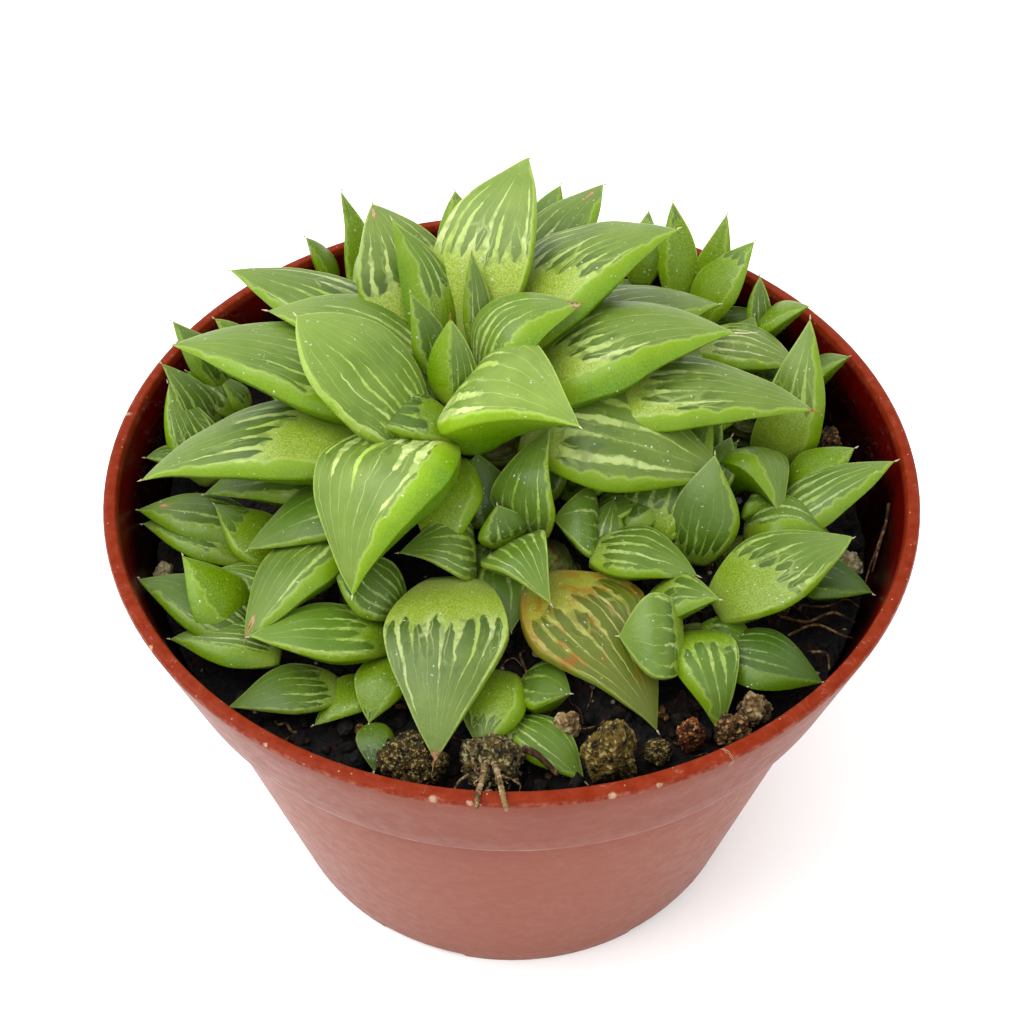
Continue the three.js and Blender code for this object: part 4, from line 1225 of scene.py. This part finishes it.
def rough(x, y):
    """The soil's surface with its crumbs."""
    spot = Vector((x, y, 4))
    coarse = noise.noise(spot * 0.16) * 1.1 + noise.noise(spot * 0.42) * 0.75
    fine = noise.noise(spot * 1.1) * 0.45 + noise.noise(spot * 2.3) * 0.25
    return soil_top(x, y) - SETTLED + coarse + fine


def add_soil():
    """The soil as one closed body that fills the pot, with a crumbly top."""
    body = Body()
    sides = 300
    edge = inner_radius(SOIL_EDGE) - 2 * SOIL_GAP
    shoulder = BAND_FOOT - WALL
    side_rows = [
        (inner_radius(POT_FLOOR_TOP + SOIL_GAP) - SOIL_GAP, POT_FLOOR_TOP + SOIL_GAP),
        (inner_radius(shoulder) - SOIL_GAP, shoulder),
        (inner_radius(BAND_FOOT) - 2 * SOIL_GAP, BAND_FOOT),
        (edge - 0.3, SOIL_EDGE - 1.6),
    ]
    turn = turns(sides)
    rows = [ring(r, z, turn) for r, z in side_rows]
    for radius in np.concatenate([np.linspace(edge, 24, 66), np.linspace(22, 0.5, 12)]):
        x, y = radius * np.cos(turn), radius * np.sin(turn)
        rows.append(np.stack([x, y, [rough(*p) for p in zip(x, y)]], -1))
    bottom = [[0, 0, POT_FLOOR_TOP + SOIL_GAP]]
    body.add(np.vstack(rows + [bottom, [[0, 0, rough(0, 0)]]]), loft_faces(len(rows), sides))
    piece("soil_bed", body, "soil", ["soil"])


def lump_shape(level):
    """The corners and faces of a ball."""
    ball = bmesh.new()
    bmesh.ops.create_icosphere(ball, subdivisions=level, radius=1)
    points = np.array([v.co for v in ball.verts])
    faces = [[v.index for v in face.verts] for face in ball.faces]
    ball.free()
    return points, faces


FINE_BALL = lump_shape(5)
COARSE_BALL = lump_shape(2)


def add_lump(body, at, half, seed, ball, crag):
    """A craggy ball with these half sizes at a place."""
    points, faces = ball
    shift = Vector((seed * 37.1, seed * 11.3, 0))
    made = []
    for p in points:
        coarse, middling, fine, finest = (
            noise.noise(Vector(p) * pitch + shift) for pitch in (1.3, 3.4, 9, 21))
        grow = 1 + crag * coarse + crag * 0.55 * middling
        if ball is FINE_BALL:
            grow += crag * 0.35 * fine + crag * 0.16 * finest
        made.append(p * half * grow + at)
    body.add(made, faces)


def add_lumps():
    """The lumps on the soil, a piece each."""
    for i, (name, (x, y, half_x, half_y, half_z, material, slot)) in enumerate(LUMPS.items()):
        body = Body()
        at = (x, y, soil_top(x, y) + half_z * (1 - SUNK))
        add_lump(body, at, (half_x, half_y, half_z), i + 1, FINE_BALL, 0.3)
        nodes = [name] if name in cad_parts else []
        piece(f"{name}_shape", body, material, nodes)


# Two dry roots leave the root lump and cross the rim.
ROOTS = [
    [(-2.6, -43.5, 63.5), (-2.9, -46.5, 66.6), (-3.1, -49.3, 68.3), (-3.4, -51.2, 69.5),
     (-3.5, -52.3, 69.6), (-3.5, -52.9, 69.0)],
    [(-1.9, -43.6, 63.5), (-1.4, -46.8, 66.6), (-1.0, -49.8, 68.6), (-0.8, -51.4, 69.6),
     (-0.6, -52.5, 69.7), (-0.3, -53.2, 69.0)],
]


def curve_through(points, steps):
    """A smooth path through points."""
    points = np.asarray(points, float)
    knots = np.linspace(0, len(points) - 1, steps)
    padded = np.vstack([2 * points[0] - points[1], points, 2 * points[-1] - points[-2]])
    path = []
    for k in knots:
        i = min(int(k), len(points) - 2)
        u = k - i
        a, b, c, d = padded[i:i + 4]
        path.append(0.5 * (2 * b + (c - a) * u + (2 * a - 5 * b + 4 * c - d) * u ** 2
                           + (3 * b - a - 3 * c + d) * u ** 3))
    return np.array(path)


def add_roots():
    """The two roots over the rim, and fine ones that hang about the root lump."""
    body = Body()
    draw = random.Random(SEEDS["roots"])
    for root in ROOTS:
        radii = [0.36 - 0.12 * i / 39 + 0.06 * math.sin(i * 1.9) for i in range(40)]
        body.tube(curve_through(root, 40), radii, 10)
    for _ in range(14):
        start = np.array([-2.5 + draw.uniform(-2.6, 2.6), -44 + draw.uniform(-1, 1.5), 62])
        start[2] = soil_top(*start[:2]) + draw.uniform(1.5, 5)
        path = [start]
        for _ in range(4):
            path.append(path[-1] + np.array([draw.uniform(-0.9, 0.9), draw.uniform(-1.2, -0.1),
                                             draw.uniform(-1.0, 0.5)]))
        body.tube(curve_through(path, 16), np.linspace(0.22, 0.07, 16), 6)
    piece("root_ends", body, "tan")


def scatter(draw, count, nearest=20.0):
    """Places spread evenly over the soil, from a radius outwards."""
    limit = inner_radius(SOIL_EDGE) - 1.8
    places = []
    while len(places) < count:
        radius = math.sqrt(draw.uniform(nearest ** 2, limit ** 2))
        turn = draw.uniform(0, 2 * math.pi)
        places.append((radius * math.cos(turn), radius * math.sin(turn)))
    return places


def pulled_in(x, y, room):
    """The place, or the nearest one within a radius of the axis."""
    far = math.hypot(x, y)
    return (x * room / far, y * room / far) if far > room else (x, y)


# Crumbs: material, slot, how many, and the range of their half sizes.
CRUMBS = {
    "soil_crumbs": ("peat", "soil", 560, 0.5, 1.5),
    "bark_crumbs": ("bark", "bark", 60, 0.5, 1.3),
    "perlite_crumbs": ("perlite", "perlite", 46, 0.3, 0.75),
}


def add_crumbs():
    """Loose crumbs on the soil, a piece of each kind."""
    draw = random.Random(SEEDS["crumbs"])
    for name, (material, slot, count, low, high) in CRUMBS.items():
        body = Body()
        for x, y in scatter(draw, count):
            size = draw.uniform(low, high) * draw.uniform(0.7, 1)
            half = [size * draw.uniform(0.65, 1.2) for _ in range(3)]
            x, y = pulled_in(x, y, inner_radius(SOIL_EDGE) - CRUMB_ROOM - max(half))
            add_lump(body, (x, y, rough(x, y) + half[2] * 0.3), half, draw.uniform(1, 90),
                     COARSE_BALL, 0.45)
        piece(name, body, material)


# Twigs that lean against the right wall and lie in front of it, and their thickness.
TWIGS = [
    ([(49, -4.4, 64.6), (48.5, -6.6, 63), (47.7, -8.6, 62.2), (46.5, -11.9, 59.8)], 0.24),
    ([(48.3, -6.9, 62.9), (47.3, -9.3, 61.8), (46.4, -11, 60.4), (45.5, -13.2, 59.3)], 0.2),
    ([(33.5, -19, 59.6), (36.6, -20.9, 60.7), (40.2, -19.6, 60.9), (43.1, -20, 59.4)], 0.24),
    ([(34.5, -22, 59.4), (37.8, -21.2, 60.5), (41, -22.8, 60.4), (42.3, -22.4, 59.4)], 0.2),
    ([(36, -17.4, 59.8), (39.4, -18.8, 61.2), (42.2, -17.2, 60.6), (44.1, -17.4, 59.3)], 0.17),
    ([(36.5, -24.6, 59.4), (38.6, -25.6, 60.4), (38.9, -27.2, 59.3)], 0.22),
    ([(1.5, -41, 62.6), (3.2, -41.6, 62), (5.4, -43.2, 60.6)], 0.5),
    ([(-10.8, -46.5, 60.2), (-7.6, -45.8, 61.2), (-5.5, -46.4, 60.4)], 0.3),
]


def add_fibres():
    """The twigs, and short fibres strewn over the soil."""
    draw = random.Random(SEEDS["fibres"])
    body = Body()
    for path, thick in TWIGS:
        body.tube(curve_through(path, 24), np.linspace(thick, thick * 0.6, 24), 8)
    for x, y in scatter(draw, 90, 24.0):
        heading = draw.uniform(0, 2 * math.pi)
        long = draw.uniform(2, 7)
        path = []
        for k in range(5):
            at = (x + math.cos(heading) * long * k / 4, y + math.sin(heading) * long * k / 4)
            at = pulled_in(*at, inner_radius(SOIL_EDGE) - FIBRE_ROOM)
            path.append((*at, rough(*at) + 0.25 + 0.5 * math.sin(math.pi * k / 4)))
            heading += draw.uniform(-0.35, 0.35)
        thick = draw.uniform(0.1, 0.26)
        body.tube(curve_through(path, 14), np.linspace(thick, thick * 0.5, 14), 6)
    piece("soil_fibres", body, "fibre")


# ---- The studio ----

IMAGE_SIDE = 1024  # pixels
CAMERA_AT = (0.5, -137.7, 206.8)
CAMERA_DOWN = 47.2  # degrees below level
CAMERA_PAN = 0.19  # degrees to the left of +Y
FOCAL_PIXELS = 1500
SENSOR = 36.0
# The studio is in metres and watts. A light is its place, size and power.
NEAREST_SEEN = 0.01
FLOOR_REACH = 3.0
SKY_STRENGTH = 1.35
LIGHTS = {"key": ((-0.38, -0.05, 0.75), 0.7, 6.2), "fill": ((0.1, -0.6, 0.6), 0.6, 1.0)}
LIGHTS_AIM = (0, 0, 0.06)


def point(made, ahead):
    """Turns a camera or a light to look ahead."""
    made.rotation_euler = ahead.to_track_quat("-Z", "Y").to_euler()


def add_studio():
    """The camera, a white floor and sky, and two soft lights."""
    camera = new_object("camera", bpy.data.cameras.new("camera"))
    down, pan = math.radians(CAMERA_DOWN), math.radians(CAMERA_PAN)
    level = math.cos(down)
    point(camera, Vector((-math.sin(pan) * level, level * math.cos(pan), -math.sin(down))))
    camera.location = Vector(CAMERA_AT) * MM
    camera.data.sensor_width = SENSOR
    camera.data.lens = SENSOR * FOCAL_PIXELS / IMAGE_SIDE
    camera.data.clip_start = NEAREST_SEEN
    bpy.context.scene.camera = camera

    mesh = bpy.data.meshes.new("floor")
    signs = ((-1, -1), (1, -1), (1, 1), (-1, 1))
    corners = [(x * FLOOR_REACH, y * FLOOR_REACH, 0) for x, y in signs]
    mesh.from_pydata(corners, [], [range(4)])
    mesh.materials.append(floor_material())
    floor = new_object("floor", mesh)

    world = bpy.data.worlds.new("studio")
    bpy.context.scene.world = world
    world.use_nodes = True
    sky = world.node_tree.nodes["Background"].inputs
    sky["Color"].default_value = (1, 1, 1, 1)
    sky["Strength"].default_value = SKY_STRENGTH
    for name, (at, size, power) in LIGHTS.items():
        light = new_object(name, bpy.data.lights.new(name, "AREA"))
        light.data.size, light.data.energy, light.location = size, power, at
        point(light, Vector(LIGHTS_AIM) - Vector(at))
    bpy.context.scene.view_settings.view_transform = "Standard"


add_pot()
add_soil()
add_stems()
add_leaves()
add_lumps()
add_roots()
add_crumbs()
add_fibres()
add_studio()
